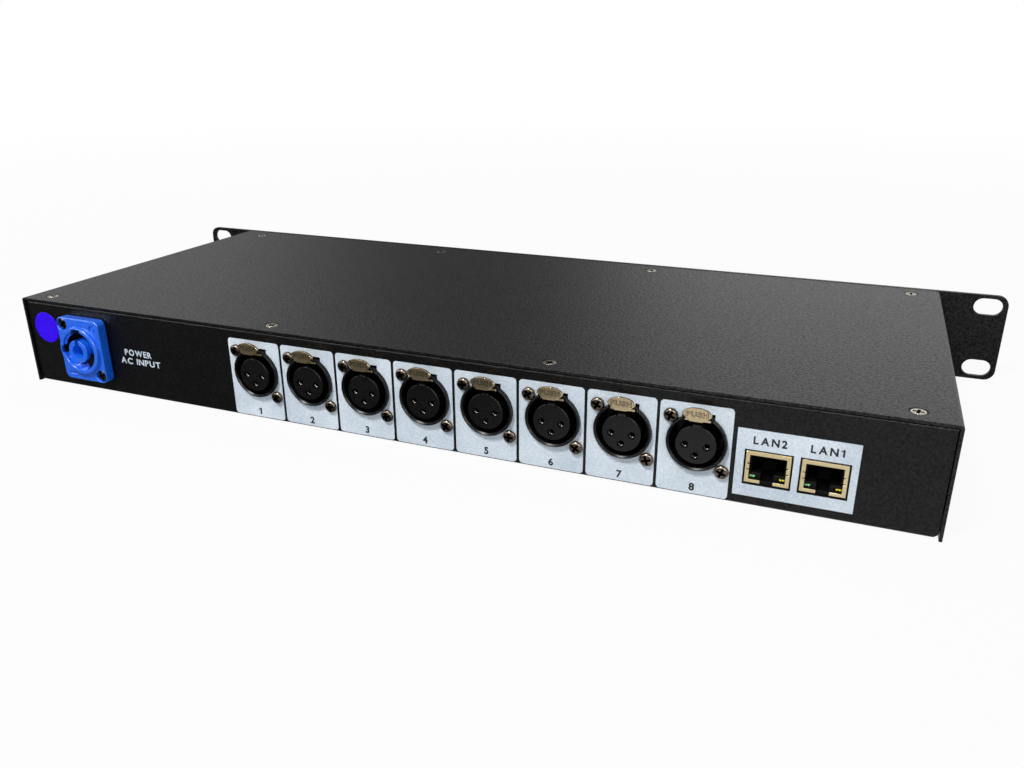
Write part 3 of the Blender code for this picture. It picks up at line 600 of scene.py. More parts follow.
def scatter_recipe() -> Recipe:
    """The tree that sets one template, such as a screw, at each point, with a random turn about its axis."""
    recipe = Recipe("scattered fasteners", template="Object", facing="Vector", spin="Float", seed="Int")
    template = add(recipe.tree, "GeometryNodeObjectInfo", {"Object": recipe.inputs["template"]})
    facing = recipe.add("FunctionNodeEulerToRotation", {0: "facing"})
    placed = recipe.add("GeometryNodeInstanceOnPoints", {
        "Points": "Geometry", "Instance": template.outputs["Geometry"], "Rotation": facing})
    chance = add(recipe.tree, "FunctionNodeRandomValue",
                 {"Max": recipe.inputs["spin"], "Seed": recipe.inputs["seed"]}, data_type="FLOAT")
    amount = next(s for s in chance.outputs if s.enabled)
    turn = recipe.add("ShaderNodeCombineXYZ", {"Z": amount})
    return recipe.close(recipe.add("GeometryNodeRotateInstances", {"Instances": placed, "Rotation": turn}))


def folded_recipe() -> Recipe:
    """The tree that folds a sheet along a line in XZ, with round folds, and gives it its width along Y."""
    recipe = Recipe("folded sheet", fold="Float", sheet="Float", width="Float")
    line = recipe.add("GeometryNodeMeshToCurve", {"Mesh": "Geometry"})
    folded = recipe.add("GeometryNodeFilletCurve", {"Curve": line, "Radius": "fold", "Count": 10},
                        mode="POLY")
    across = recipe.add("GeometryNodeSetCurveNormal", {"Curve": folded, "Normal": (0.0, 1.0, 0.0)},
                        mode="FREE")
    section = recipe.add("GeometryNodeCurvePrimitiveQuadrilateral", {"Width": "width", "Height": "sheet"})
    return recipe.close(recipe.add("GeometryNodeCurveToMesh", {
        "Curve": across, "Profile Curve": section, "Fill Caps": True}))


# ---------------------------------------------------------------- finishes


@dataclass(frozen=True)
class Finish:
    """A surface with a grain: a light and a dark tone, varied gloss and a low relief.

    Lengths are in millimetres.
    """

    name: str
    slot: str
    light: str
    dark: str
    roughness: float
    spread: float
    grain: float
    relief: float
    metallic: float = 0.0
    coat: float = 0.0
    stretch: tuple[float, float, float] = (1.0, 1.0, 1.0)
    shine: float = 0.5

    def pattern(self, tree: Tree, place: Socket) -> Socket:
        """The grain as a value from 0 to 1 at each place."""
        fine = add(tree, "ShaderNodeTexNoise", {
            "Vector": place, "Scale": 1 / (self.grain * MM), "Detail": 3.0, "Roughness": 0.55})
        return add(tree, "ShaderNodeMapRange", ramp(fine.outputs["Fac"], (0.32, 0.68))).outputs[0]

    def colour(self, tree: Tree, place: Socket, grain: Socket) -> Socket:
        """Mixes the two tones by the grain and by broad, soft clouds.

        Args:
            tree: The material's tree.
            place: Where on the piece.
            grain: The grain's value there.

        Returns:
            The colour.
        """
        broad = add(tree, "ShaderNodeTexNoise", {"Vector": place, "Scale": 1 / (self.grain * 30 * MM)})
        both = add(tree, "ShaderNodeMath", {0: grain, 1: 0.6, 2: broad.outputs["Fac"]},
                   operation="MULTIPLY_ADD")
        share = add(tree, "ShaderNodeMapRange", ramp(both, (0.3, 1.3)))
        return add(tree, "ShaderNodeMix", {0: share, 6: linear(self.dark), 7: linear(self.light)},
                   data_type="RGBA").outputs[2]

    def dress(self, tree: Tree, shader: bpy.types.Node) -> None:
        """Builds the nodes that lead to the shader.

        Args:
            tree: The material's tree.
            shader: Its Principled BSDF.
        """
        place = add(tree, "ShaderNodeTexCoord").outputs["Object"]
        place = add(tree, "ShaderNodeMapping", {"Vector": place, "Scale": self.stretch}).outputs[0]
        grain = self.pattern(tree, place)
        gloss = (0.0, 1.0, self.roughness - self.spread, self.roughness + self.spread)
        feed(shader, {
            "Base Color": self.colour(tree, place, grain),
            "Roughness": add(tree, "ShaderNodeMapRange", ramp(grain, gloss)),
            "Normal": add(tree, "ShaderNodeBump", {"Height": grain, "Distance": self.relief * MM}),
            "Metallic": self.metallic, "Coat Weight": self.coat, "Specular IOR Level": self.shine})

    def material(self) -> Material:
        """The finish's material, made the first time it is asked for."""
        if self.name in bpy.data.materials:
            return bpy.data.materials[self.name]
        made = bpy.data.materials.new(self.name)
        made.use_nodes = True
        self.dress(made.node_tree, made.node_tree.nodes["Principled BSDF"])
        return made


@dataclass(frozen=True)
class PowderCoat(Finish):
    """Baked powder: round, tight orange peel, so that the sheet shines softly in many small dots."""

    dots: float = 0.5

    def pattern(self, tree: Tree, place: Socket) -> Socket:
        """Makes the peel: cells of melted powder under a finer noise.

        Args:
            tree: The material's tree.
            place: Where on the piece.

        Returns:
            The grain as a value from 0 to 1.
        """
        cells = add(tree, "ShaderNodeTexVoronoi", {"Vector": place, "Scale": 1 / (self.grain * MM)},
                    feature="SMOOTH_F1")
        fine = add(tree, "ShaderNodeTexNoise", {
            "Vector": place, "Scale": 2 / (self.grain * MM), "Detail": 2.0})
        both = add(tree, "ShaderNodeMath", {0: cells.outputs["Distance"], 1: 0.6, 2: fine.outputs["Fac"]},
                   operation="MULTIPLY_ADD")
        return add(tree, "ShaderNodeMapRange", ramp(both, (0.45, 1.1))).outputs[0]

    def dress(self, tree: Tree, shader: bpy.types.Node) -> None:
        """Builds the nodes, and lets each dot of the peel shine a little more or less than the next.

        Args:
            tree: The material's tree.
            shader: Its Principled BSDF.
        """
        super().dress(tree, shader)
        place = add(tree, "ShaderNodeTexCoord").outputs["Object"]
        dots = add(tree, "ShaderNodeTexNoise", {
            "Vector": place, "Scale": 1.2 / (self.grain * MM), "Detail": 1.0})
        ends = (0.3, 0.7, self.shine * (1 - self.dots), self.shine * (1 + self.dots))
        feed(shader, {"Specular IOR Level": add(tree, "ShaderNodeMapRange", ramp(dots.outputs["Fac"], ends))})


@dataclass(frozen=True)
class SpangledZinc(Finish):
    """Hot-dip zinc, whose crystals each catch the light a little differently."""

    def pattern(self, tree: Tree, place: Socket) -> Socket:
        """One flat value for each crystal."""
        cells = add(tree, "ShaderNodeTexVoronoi", {"Vector": place, "Scale": 1 / (self.grain * MM)})
        return add(tree, "ShaderNodeSeparateXYZ", {0: cells.outputs["Color"]}).outputs["X"]


@dataclass(frozen=True)
class BoardMask(Finish):
    """Solder mask over copper: straight tracks show as slightly lighter, raised lines."""

    def pattern(self, tree: Tree, place: Socket) -> Socket:
        """Track-like bands that run along the board."""
        bands = add(tree, "ShaderNodeTexWave", {
            "Vector": place, "Scale": 1 / (self.grain * MM) / 20, "Distortion": 6.0, "Detail": 1.0},
            bands_direction="Y", wave_profile="SAW")
        return add(tree, "ShaderNodeMapRange", ramp(bands.outputs["Fac"], (0.45, 0.55))).outputs[0]


@dataclass(frozen=True)
class WornPlate(Finish):
    """Plating with painted shade: black on the faces that the mesh's own attribute marks, in recesses and
    round letters.
    """

    def colour(self, tree: Tree, place: Socket, grain: Socket) -> Socket:
        """Mixes the plating's colour and paints it black as shade on the faces that the mesh marks.

        Args:
            tree: The material's tree.
            place: Where on the piece.
            grain: The grain's value there.

        Returns:
            The colour.
        """
        painted_shade = add(tree, "ShaderNodeAttribute", attribute_name="recess").outputs["Fac"]
        plate = super().colour(tree, place, grain)
        return add(tree, "ShaderNodeMix", {0: painted_shade, 6: plate, 7: linear("#030303")},
                   data_type="RGBA").outputs[2]


@dataclass(frozen=True)
class Resin(Finish):
    """Cast or moulded clear resin, which light passes through."""

    passes: float = 0.6
    index: float = 1.49

    def dress(self, tree: Tree, shader: bpy.types.Node) -> None:
        """Builds the nodes and sets how much light passes."""
        super().dress(tree, shader)
        feed(shader, {"Transmission Weight": self.passes, "IOR": self.index})


# Textured polyester powder on steel. Its peel is about 0.5 mm wide and is drawn at 1.3 mm, so that it shows.
POWDER = PowderCoat("black_powder_coated_steel", "powder_coat", "#0e0f11", "#040405", 0.4, 0.09, 1.3, 0.09,
                    shine=0.36, dots=0.55)
# The tray has a smoother powder, whose folds catch the light as a line.
TRAY_POWDER = PowderCoat("satin_black_powder_coated_steel", "powder_coat", "#08090a", "#030304", 0.36, 0.06,
                         0.9, 0.05, shine=0.3, dots=0.3)
# Glass-filled nylon of the sockets, spark-eroded: a dull grain, drawn at 0.5 mm.
SOCKET_NYLON = Finish("black_moulded_nylon", "black_plastic", "#0f0f11", "#070708", 0.32, 0.06, 0.5, 0.012,
                      shine=0.26)
# The jacks' bodies are moulded in a duller black.
JACK_NYLON = Finish("dull_black_moulded_nylon", "black_plastic", "#09090a", "#050506", 0.5, 0.06, 0.5, 0.01,
                    shine=0.15)
# The contact carriers are moulded in a nylon of their own, with a softer shine.
CARRIER_NYLON = Finish("grey_black_moulded_nylon", "insert_plastic", "#0c0d0e", "#060607", 0.3, 0.06, 0.45,
                       0.01, shine=0.34)
# The inlet's polyamide is dyed through and has a fine, even satin under a gloss.
BLUE_NYLON = Finish("blue_moulded_polyamide", "blue_plastic", "#1a70f4", "#1260e6", 0.28, 0.06, 0.45, 0.006,
                    coat=1.0)
# Nickel plate on stamped steel: warm, with faint rolling lines along the strip.
NICKEL = WornPlate("nickel_plated_spring_steel", "nickel", "#e6d3ae", "#cbb68f", 0.2, 0.05, 0.35, 0.002, 1.0,
                   stretch=(0.3, 1.0, 1.0))
# The flange screws are black-nickel plated, so they shine dark bronze.
DARK_NICKEL = WornPlate("black_nickel_plated_steel", "nickel", "#84776a", "#4a4239", 0.24, 0.07, 0.5, 0.006,
                        1.0)
# The lid's screws are bright zinc or nickel.
BRIGHT_NICKEL = WornPlate("bright_nickel_plated_steel", "nickel", "#d8d0c2", "#a69e90", 0.26, 0.06, 0.5,
                          0.006, 1.0)
# Tin over bronze on the jacks' shields: pale gold with fine rolled lines.
TIN = Finish("tin_plated_bronze_sheet", "tinplate", "#f0dfb4", "#e2cf9e", 0.3, 0.03, 0.3, 0.001, 1.0,
             stretch=(1.0, 1.0, 0.15))
# Silver plate on the socket contacts, drawn dark grey as painted shade, since they stand deep in the holes.
SILVER = Finish("silver_plated_contacts", "brass", "#6e6b66", "#4c4a47", 0.32, 0.06, 0.3, 0.003, 1.0)
# Selective gold plate on the jacks' spring wires.
GOLD = Finish("gold_plated_contacts", "brass", "#f2d184", "#c79a45", 0.22, 0.06, 0.3, 0.003, 1.0)
# Bare brass blades, a little tarnished.
BRASS = Finish("brass_blades", "brass", "#cfa65a", "#8f6a30", 0.34, 0.1, 0.8, 0.005, 1.0)
# Screen-printed white: matt, slightly cold, speckled where the powder's peel shows through.
WHITE_INK = PowderCoat("white_screen_print_ink", "powder_coat", "#eaf3fb", "#b2c1cf", 0.6, 0.06, 0.7, 0.04)
# Screen-printed black on the white fields.
BLACK_INK = PowderCoat("black_screen_print_ink", "powder_coat", "#17181a", "#0b0b0c", 0.6, 0.06, 0.8, 0.02)
# Self-adhesive vinyl, glossy.
VINYL = Finish("violet_vinyl_sticker", "powder_coat", "#3d00ff", "#3200e6", 0.3, 0.05, 0.6, 0.002, shine=0.12)
# Green solder mask.
MASK = BoardMask("green_solder_mask", "circuit_board", "#2c7a42", "#12522a", 0.34, 0.05, 1.6, 0.02)
# Zinc-coated sheet of the supply's case, spangle about 6 mm wide.
ZINC = SpangledZinc("zinc_coated_sheet", "zinc", "#c9cccf", "#9fa3a8", 0.38, 0.1, 6.0, 0.004, 1.0)
# Lightly smoked acrylic of the display's window.
ACRYLIC = Resin("smoked_acrylic", "clear_acrylic", "#c4c9cc", "#b8bdc0", 0.06, 0.01, 8.0, 0.0, passes=0.9)
# The unlit display is a flat grey-green glass.
DISPLAY_GLASS = Finish("unlit_display_glass", "black_plastic", "#66745e", "#616f59", 0.2, 0.02, 4.0, 0.0)
# Satin ABS of the push buttons.
BUTTON_ABS = Finish("dark_grey_moulded_abs", "button_plastic", "#46474a", "#333437", 0.45, 0.06, 0.5, 0.01)
# Tinted epoxy of the lamps. The green and yellow are paler than their epoxy and let little light through, as
# painted light, so that they read lit in the jacks' shaded mouths.
GREEN_RESIN = Resin("green_epoxy", "green_lamp", "#b4ffb8", "#8cf59a", 0.2, 0.04, 0.6, 0.002, passes=0.1)
YELLOW_RESIN = Resin("yellow_epoxy", "yellow_lamp", "#fff65a", "#f8ea30", 0.2, 0.04, 0.6, 0.002, passes=0.1)
RED_RESIN = Resin("red_epoxy", "red_lamp", "#e2402c", "#b3211a", 0.2, 0.04, 0.6, 0.002, passes=0.35)


# ---------------------------------------------------------------- pieces


def piece(name: str, mesh: Mesh, finish: Finish, body: str, *nodes: str) -> None:
    """Puts a finished mesh in the scene as a piece of the unit.

    Args:
        name: The piece's name.
        mesh: Its mesh, in the unit's coordinates.
        finish: Its finish.
        body: The CAD body that it rides on.
        nodes: The CAD nodes that it stands for.
    """
    mesh.materials.clear()
    mesh.materials.append(finish.material())
    mesh.shade_smooth()
    mesh.set_sharp_from_angle(angle=radians(SHARP))
    host = linked(name, mesh)
    host.modifiers.new("flat faces stay flat", "WEIGHTED_NORMAL").keep_sharp = True
    host.data = evaluated(host)
    host.modifiers.clear()
    host.data.name = name
    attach(host, body)
    if nodes:
        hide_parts(*nodes)
    LOG.info("%s: %d faces, rides on %s", name, len(host.data.polygons), body)


def placed(mesh: Mesh, place: Matrix) -> Mesh:
    """Copies a shape to another place.

    Args:
        mesh: The shape.
        place: The transform to that place.

    Returns:
        The copy.
    """
    copy = mesh.copy()
    copy.transform(place)
    return copy


def scattered(recipe: Recipe, name: str, shape: Mesh, places: list[Place], facing: Facing, finish: Finish,
              spin: float = 0.0, seed: int = 1) -> None:
    """Sets a shape at each of some places, as one piece on the chassis.

    Args:
        recipe: The tree that scatters fasteners.
        name: The piece's name.
        shape: The shape, with its axis along Z.
        places: Where its origin goes.
        facing: Which way its upper end looks.
        finish: Its finish.
        spin: The most that one is turned about its axis.
        seed: What sets how far each is turned.
    """
    template = linked("template", shape)
    made = recipe.grow(points(places), template=template, facing=facing.value, spin=spin, seed=seed,
                       finish=finish.material())
    bpy.data.objects.remove(template)
    piece(name, made, finish, "chassis")


def blackened(mesh: Mesh, inside: Callable[[Vector], bool]) -> None:
    """Marks the faces that get painted shade, such as those deep in a recess.

    Args:
        mesh: The mesh to mark.
        inside: Tells from the middle of a face whether it gets painted shade.
    """
    painted_shade = mesh.attributes.new("recess", "FLOAT", "FACE")
    for face, value in zip(mesh.polygons, painted_shade.data):
        value.value = float(inside(face.center))


def drawn_sign(sign: str, weight: float, bevel: float) -> Mesh:
    """Draws one capital or figure as a solid, one em high.

    Args:
        sign: The letter or figure.
        weight: How much heavier than the plain letter, as a share of the em.
        bevel: The slope round its edges, as a share of the em.

    Returns:
        A closed mesh that stands about Z = 0.
    """
    if sign == "1":
        flag = [(0.28, 0), (0.28, 0.52), (0.1, 0.44), (0.1, 0.54), (0.24, 0.61), (0.31, 0.7), (0.38, 0.7),
                (0.38, 0)]
        grown = [(x + (weight if x > 0.33 else -weight), y) for x, y in flag]
        return Draft().prism(grown, -0.1, 0.1).mesh()
    curve = bpy.data.curves.new("sign", "FONT")
    curve.body = sign
    curve.size = 1.0
    curve.offset = weight - bevel
    curve.extrude = 0.01 if bevel else 0.1
    curve.bevel_depth = bevel
    curve.bevel_resolution = 0
    curve.resolution_u = 6
    host = linked("sign", curve)
    made = evaluated(host)
    bpy.data.objects.remove(host)
    return made


def lettering(words: str, height: float, centre: tuple[float, float], depth: float, weight: float = 0.0,
              width: float = 0.0, gap: float = 0.12, bevel: float = 0.0) -> Mesh:
    """Draws words as flat, raised letters in the XY plane.

    Args:
        words: What they say, in capitals or figures.
        height: The letters' height.
        centre: The middle of the words.
        depth: How far they stand up from Z = 0.
        weight: How much heavier than the plain letter, as a share of the em.
        width: The words' width, or 0 for letters of their plain width.
        gap: The space between two letters, as a share of the em.
        bevel: The slope round the letters' edges, as a share of the em.

    Returns:
        A closed mesh.
    """
    line = Draft()
    left = 0.0
    for sign in words:
        if sign == " ":
            left += SPACE
            continue
        made = drawn_sign(sign, weight, bevel)
        reach = [v.co.x for v in made.vertices]
        line.stamp(made, Matrix.Translation((left - min(reach), 0, 0)))
        left += max(reach) - min(reach) + gap
    low, high = (Vector([end(v.co[i] for v in line.bm.verts) for i in range(3)]) for end in (min, max))
    size = height / (high.y - low.y)
    wide = width / (high.x - low.x) if width else size
    scale = Matrix.Diagonal((wide, size, depth / (high.z - low.z), 1.0))
    middle = Vector(((low.x + high.x) / 2, (low.y + high.y) / 2, low.z))
    return line.mesh(Matrix.Translation((*centre, 0.0)) @ scale @ Matrix.Translation(-middle))


# ---------------------------------------------------------------- the unit's places


@dataclass
class Frame:
    """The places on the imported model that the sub-assemblies are set by."""

    nodes: dict[str, Object]
    socket_drop: float = 13.3 * MM
    socket_hole: float = 11.3 * MM
    shoulder_width: float = 12 * MM
    shoulder_rise: float = 11.6 * MM

    @property
    def rear(self) -> float:
        """Where the rear wall's face stands in Y."""
        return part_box("chassis_tray")[1].y

    def on_rear(self, node: str, drop: float = 0.0) -> Vector:
        """The place on the rear wall that is straight below the top middle of a node."""
        low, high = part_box(node)
        return Vector(((low.x + high.x) / 2, self.rear, high.z - drop))

    def sockets(self) -> list[Vector]:
        """The axis of each XLR socket where it leaves the rear wall."""
        return [self.on_rear(f"xlr_shell_{i}", self.socket_drop) for i in range(1, 9)]

    def jacks(self) -> list[Vector]:
        """The top middle of each network jack's face."""
        return [self.on_rear(f"ethernet_shield_{i}") for i in (1, 2)]

    def inlet(self) -> Vector:
        """The mains inlet's axis where it leaves the rear wall."""
        low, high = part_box("power_inlet_shell")
        return Vector(((low.x + high.x) / 2, self.rear, (low.z + high.z) / 2))

    def front(self, node: str, y: float | None = None, rise: float = 0.0) -> Matrix:
        """The transform that puts a drawing before the middle of a node.

        Args:
            node: The node.
            y: Where the drawing's plane stands, if it isn't the node's front.
            rise: How far over the middle its origin is.

        Returns:
            The transform.
        """
        low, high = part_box(node)
        middle = (low + high) / 2
        return Facing.FRONT.at((middle.x, low.y if y is None else y, middle.z + rise))

    def dress(self, finish: Finish, *names: str) -> None:
        """Gives CAD nodes that stay as they are a finish.

        Args:
            finish: The finish.
            names: The nodes' names.
        """
        for name in names:
            for slot in self.nodes[name].material_slots:
                slot.material = finish.material()
            LOG.info("%s keeps its CAD shape", name)


# ---------------------------------------------------------------- sub-assemblies


@dataclass(frozen=True)
class Screw:
    """A cross-recessed screw: a domed head on a flange, or a countersunk one in its sink."""

    head_radius: float
    rise: float
    shank_radius: float
    sunk: bool = False
    length: float = 3.0 * MM

    def shape(self) -> Mesh:
        """Draws the screw with its axis along Z and its seat at Z = 0."""
        r, top = self.head_radius, self.rise
        if self.sunk:
            head = [(self.shank_radius, -r * 0.5), (r, top - 0.3 * MM, 0.05 * MM), (r, top, 0.08 * MM)]
        else:
            dome = [(r * cos(a) ** 0.6, top * (0.42 + 0.58 * sin(a)))
                    for a in (radians(x) for x in (0, 14, 28, 42, 56, 70, 82))]
            head = [(self.shank_radius, 0), (r * 0.97, 0), (r, 0.12 * MM), *dome, (0, top)]
        reach, half = r * 0.72, r * 0.2
        low = top - r * 0.7 if self.sunk else max(top - r * 0.7, 0.25 * MM)
        plus = [(half, half), (half, reach), (-half, reach), (-half, half), (-reach, half), (-reach, -half),
                (-half, -half), (-half, -reach), (half, -reach), (half, -half), (reach, -half), (reach, half)]
        recess = Draft().prism(plus, low, top + 0.1 * MM, 0.5)
        blank = Draft().turned([(self.shank_radius, -self.length), *head], segments=48)
        worked = Workpiece(blank).cut(recess).mesh()
        # The faces of the cross recess are painted black, as painted shade in its depth.
        blackened(worked, lambda at: min(abs(at.x), abs(at.y)) < half and max(abs(at.x), abs(at.y)) < reach
                  and low - 0.01 * MM < at.z < top)
        return worked

    def drive(self, recipe: Recipe, name: str, places: list[Place], facing: Facing, finish: Finish,
              seed: int) -> None:
        """Drives one screw at each place, each turned by chance, as one piece."""
        scattered(recipe, name, self.shape(), places, facing, finish, pi / 2, seed)


@dataclass
class Enclosure:
    """The folded tray, the lid over it, the front panel and the screws that hold them."""

    frame: Frame
    recipe: Recipe
    sheet: float = 1.2 * MM
    fold: float = 0.7 * MM
    tray_low: float = 0.35 * MM
    top_flange: float = 15 * MM
    side_flange: float = 8 * MM
    side_flange_gap: float = 3.6 * MM
    corner_relief: float = 1.7 * MM
    post_radius: float = 3 * MM
    post_inset: float = 6 * MM
    control_post_inset: float = 4.5 * MM
    switch_depth: float = 1.6 * MM
    jack_opening: tuple[tuple[float, ...], ...] = (mm(-8.4, -13.5), mm(8.4, 0.5))
    inlet_hole: float = 11.9 * MM
    button_hole: float = 4.3 * MM
    lamp_hole: float = 1.8 * MM
    window_ledge: float = 1.7 * MM
    window_corner: float = 1.1 * MM
    ledge_corner: float = 0.8 * MM
    panel_corner: float = 5 * MM
    slot_size: tuple[float, ...] = mm(13, 8.4, 4.19)
    slot_place: tuple[float, ...] = mm(232.55, 15.875)
    fixing_place: tuple[float, ...] = mm(203, 13)
    sink_radius: float = 3.15 * MM
    sunk_screw: Screw = Screw(2.65 * MM, -0.12 * MM, 1.45 * MM, True)
    rear_screws: tuple[float, ...] = mm(198.1, 66.9, -64.0, -196.2)
    front_screws: tuple[float, ...] = mm(192.4, 62.3, -66.1, -196.6)
    rear_screw_inset: float = 7 * MM
    front_screw_inset: float = 9.5 * MM

    def folded(self, corners: Outline, width: float) -> Draft:
        """Folds a sheet along its middle line.

        Args:
            corners: The line's corners in X and Z.
            width: The sheet's width along Y.

        Returns:
            The folded sheet about Y = 0.
        """
        carrier = points([(x, 0, z) for x, z in corners], lines=True)
        return Draft().stamp(folded_recipe().grow(
            carrier, fold=self.fold, sheet=self.sheet, width=width, finish=POWDER.material()))

    def sinks(self, places: list[Place], facing: Facing) -> Draft:
        """Draws the countersunk holes of a sheet.

        Args:
            places: Where they are.
            facing: Which way the sheet's face looks.

        Returns:
            The holes.
        """
        r = self.sink_radius
        hole = Draft().turned([mm(1.7, -3), (1.7 * MM, -r * 0.5), (r, -0.5 * MM), (r, 0.5 * MM)], segments=64)
        return Draft().stamp(hole.mesh(), *facing.each(places))

    def build_lid(self) -> None:
        """Builds the U-shaped lid, its sinks and its screws."""
        low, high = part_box("top_cover")
        half, top = high.x - self.sheet / 2, high.z - self.sheet / 2
        lid = self.folded([(-half, low.z), (-half, top), (half, top), (half, low.z)], high.y - low.y)
        seats = grid(self.rear_screws, [self.frame.rear - self.rear_screw_inset], [high.z])
        seats += grid(self.front_screws, [low.y + self.front_screw_inset], [high.z])
        work = Workpiece(lid.mesh(Matrix.Translation((0, (low.y + high.y) / 2, 0))))
        work.cut(self.sinks(seats, Facing.UP)).soften(0.12 * MM)
        piece("lid", work.mesh(), POWDER, "chassis", "top_cover")
        self.sunk_screw.drive(self.recipe, "lid_screws", seats, Facing.UP, BRIGHT_NICKEL, 3)

    def build_tray(self) -> None:
        """Builds the tray with its flanges, posts and connector openings, and the screws from below."""
        low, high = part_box("chassis_tray")
        low.z = self.tray_low
        half = self.sheet / 2
        front, back, bottom, top = low.y + half, high.y - half, low.z + half, high.z - half
        tray = self.folded([(low.y + self.top_flange, top), (front, top), (front, bottom), (back, bottom),
                            (back, top), (high.y - self.top_flange, top)], high.x - low.x)
        flanges = Draft().pair(
            (high.x - self.sheet, front + self.side_flange_gap, low.z + half),
            (high.x, back - self.side_flange_gap, low.z + self.sheet + self.side_flange))
        board_low, board_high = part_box("main_board")
        supply_low, supply_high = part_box("power_supply")
        inset = self.post_inset
        feet = grid((board_low.x + inset, (board_low.x + board_high.x) / 2, board_high.x - inset),
                    (board_low.y + inset, board_high.y - inset), (low.z,))
        posts = Draft()
        for x, y, _ in feet:
            posts.rod(self.post_radius, low.z + half, board_low.z - GAP, (x, y), 48)
        feet += grid((supply_low.x + inset, supply_high.x - inset),
                     (supply_low.y + inset, supply_high.y - inset), (low.z,))
        work = Workpiece(tray.mesh(Matrix.Rotation(pi / 2, 4, "Z")))
        work.join(flanges, posts, self.control_posts())
        work.cut(*self.rear_openings(), self.front_openings(low.y), self.sinks(feet, Facing.DOWN),
                 self.corner_reliefs(high.x, low.z, back))
        piece("tray", work.soften(0.18 * MM).mesh(), TRAY_POWDER, "chassis", "chassis_tray")
        self.sunk_screw.drive(self.recipe, "bottom_screws", feet, Facing.DOWN, DARK_NICKEL, 11)

    def corner_reliefs(self, side: float, low: float, back: float) -> Mesh:
        """Draws the small cuts at the rear wall's lower corners, where the sheet was relieved for the fold.

        Args:
            side: Half the tray's width.
            low: The tray's lowest height.
            back: Where the middle of the rear sheet stands.

        Returns:
            The cuts.
        """
        cut = self.corner_relief
        corner = [(side + cut, low - cut), (side - cut, low - cut), (side - cut, low), (side, low + cut),
                  (side + cut, low + cut)]
        drawing = Draft()
        for way in (1, -1):
            drawing.prism([(way * x, z) for x, z in corner], -PIERCE, PIERCE)
        return drawing.mesh(Facing.REAR.at((0, back, 0)))

    def control_posts(self) -> Draft:
        """The four posts behind the front wall that carry the control board, past the switches on it."""
        low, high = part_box("control_board")
        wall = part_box("chassis_tray")[0].y
        inset = self.control_post_inset
        reach = high.y - self.switch_depth - GAP - wall
        post = Draft().rod(self.post_radius, -reach, -self.sheet / 2, segments=48).mesh()
        places = grid((low.x + inset, high.x - inset), (wall,), (low.z + inset, high.z - inset))
        return Draft().stamp(post, *Facing.FRONT.each(places))

    def rear_openings(self) -> tuple[Draft, Draft]:
        """The openings of the rear wall: its round holes, and the windows that overlap them."""
        sockets, jacks = (Facing.REAR.each(places) for places in (self.frame.sockets(), self.frame.jacks()))
        holes = Draft().stamp(Draft().rod(self.frame.socket_hole, -PIERCE, PIERCE).mesh(), *sockets)
        holes.stamp(Draft().rod(self.inlet_hole, -PIERCE, PIERCE).mesh(), Facing.REAR.at(self.frame.inlet()))
        wide, rise = self.frame.shoulder_width / 2, self.frame.shoulder_rise
        shoulders = Draft().box((-wide, 0, -PIERCE), (wide, rise, PIERCE)).mesh()
        low, high = self.jack_opening
        jack = Draft().box((*low, -PIERCE), (*high, PIERCE)).mesh()
        return holes, Draft().stamp(shoulders, *sockets).stamp(jack, *jacks)

    def front_openings(self, wall: float) -> Draft:
        """Draws the holes for buttons, lamps and display in a front sheet.

        Args:
            wall: Where the sheet's face stands in Y.

        Returns:
            The holes.
        """
        drawing = Draft()
        for radius, segments, names in ((self.button_hole, 48, BUTTONS),
                                        (self.lamp_hole, 32, ["power_lamp", *OUTPUT_LAMPS])):
            hole = Draft().rod(radius, -PIERCE, PIERCE, segments=segments).mesh()
            drawing.stamp(hole, *[self.frame.front(name, wall) for name in names])
        low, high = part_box("display_window")
        wide, rise = (high.x - low.x) / 2 - self.window_ledge, (high.z - low.z) / 2 - self.window_ledge
        window = Draft().box((-wide, -rise, -PIERCE), (wide, rise, PIERCE), self.ledge_corner).mesh()
        return drawing.stamp(window, self.frame.front("display_window", wall))

    def build_panel(self) -> None:
        """Builds the front panel with its rack slots, openings and countersunk screws."""
        low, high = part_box("front_panel")
        thick, level = high.y - low.y, (low.z + high.z) / 2
        plate = Draft().prism(rounded_field(high.x - low.x, high.z - low.z, self.panel_corner), -thick, 0)
        slot = Draft().prism(rounded_field(*self.slot_size), -2 * thick, thick).mesh()
        slots, fixings = (grid((-x, x), (low.y,), (level - z, level + z))
                          for x, z in (self.slot_place, self.fixing_place))
        window_low, window_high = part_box("display_window")
        opening = rounded_field(window_high.x - window_low.x + 2 * GAP,
                                window_high.z - window_low.z + 2 * GAP, self.window_corner)
        window = Draft().prism(opening, -2 * thick, thick).mesh(self.frame.front("display_window", low.y))
        work = Workpiece(plate.mesh(Facing.FRONT.at((0, low.y, level))))
        work.cut(Draft().stamp(slot, *Facing.FRONT.each(slots)), window, self.front_openings(low.y),
                 self.sinks(fixings, Facing.FRONT))
        piece("panel", work.soften(0.3 * MM).mesh(), POWDER, "chassis", "front_panel")
        self.sunk_screw.drive(self.recipe, "panel_screws", fixings, Facing.FRONT, DARK_NICKEL, 5)

    def build(self) -> None:
        """Builds and dresses the whole enclosure."""
        self.build_lid()
        self.build_tray()
        self.build_panel()


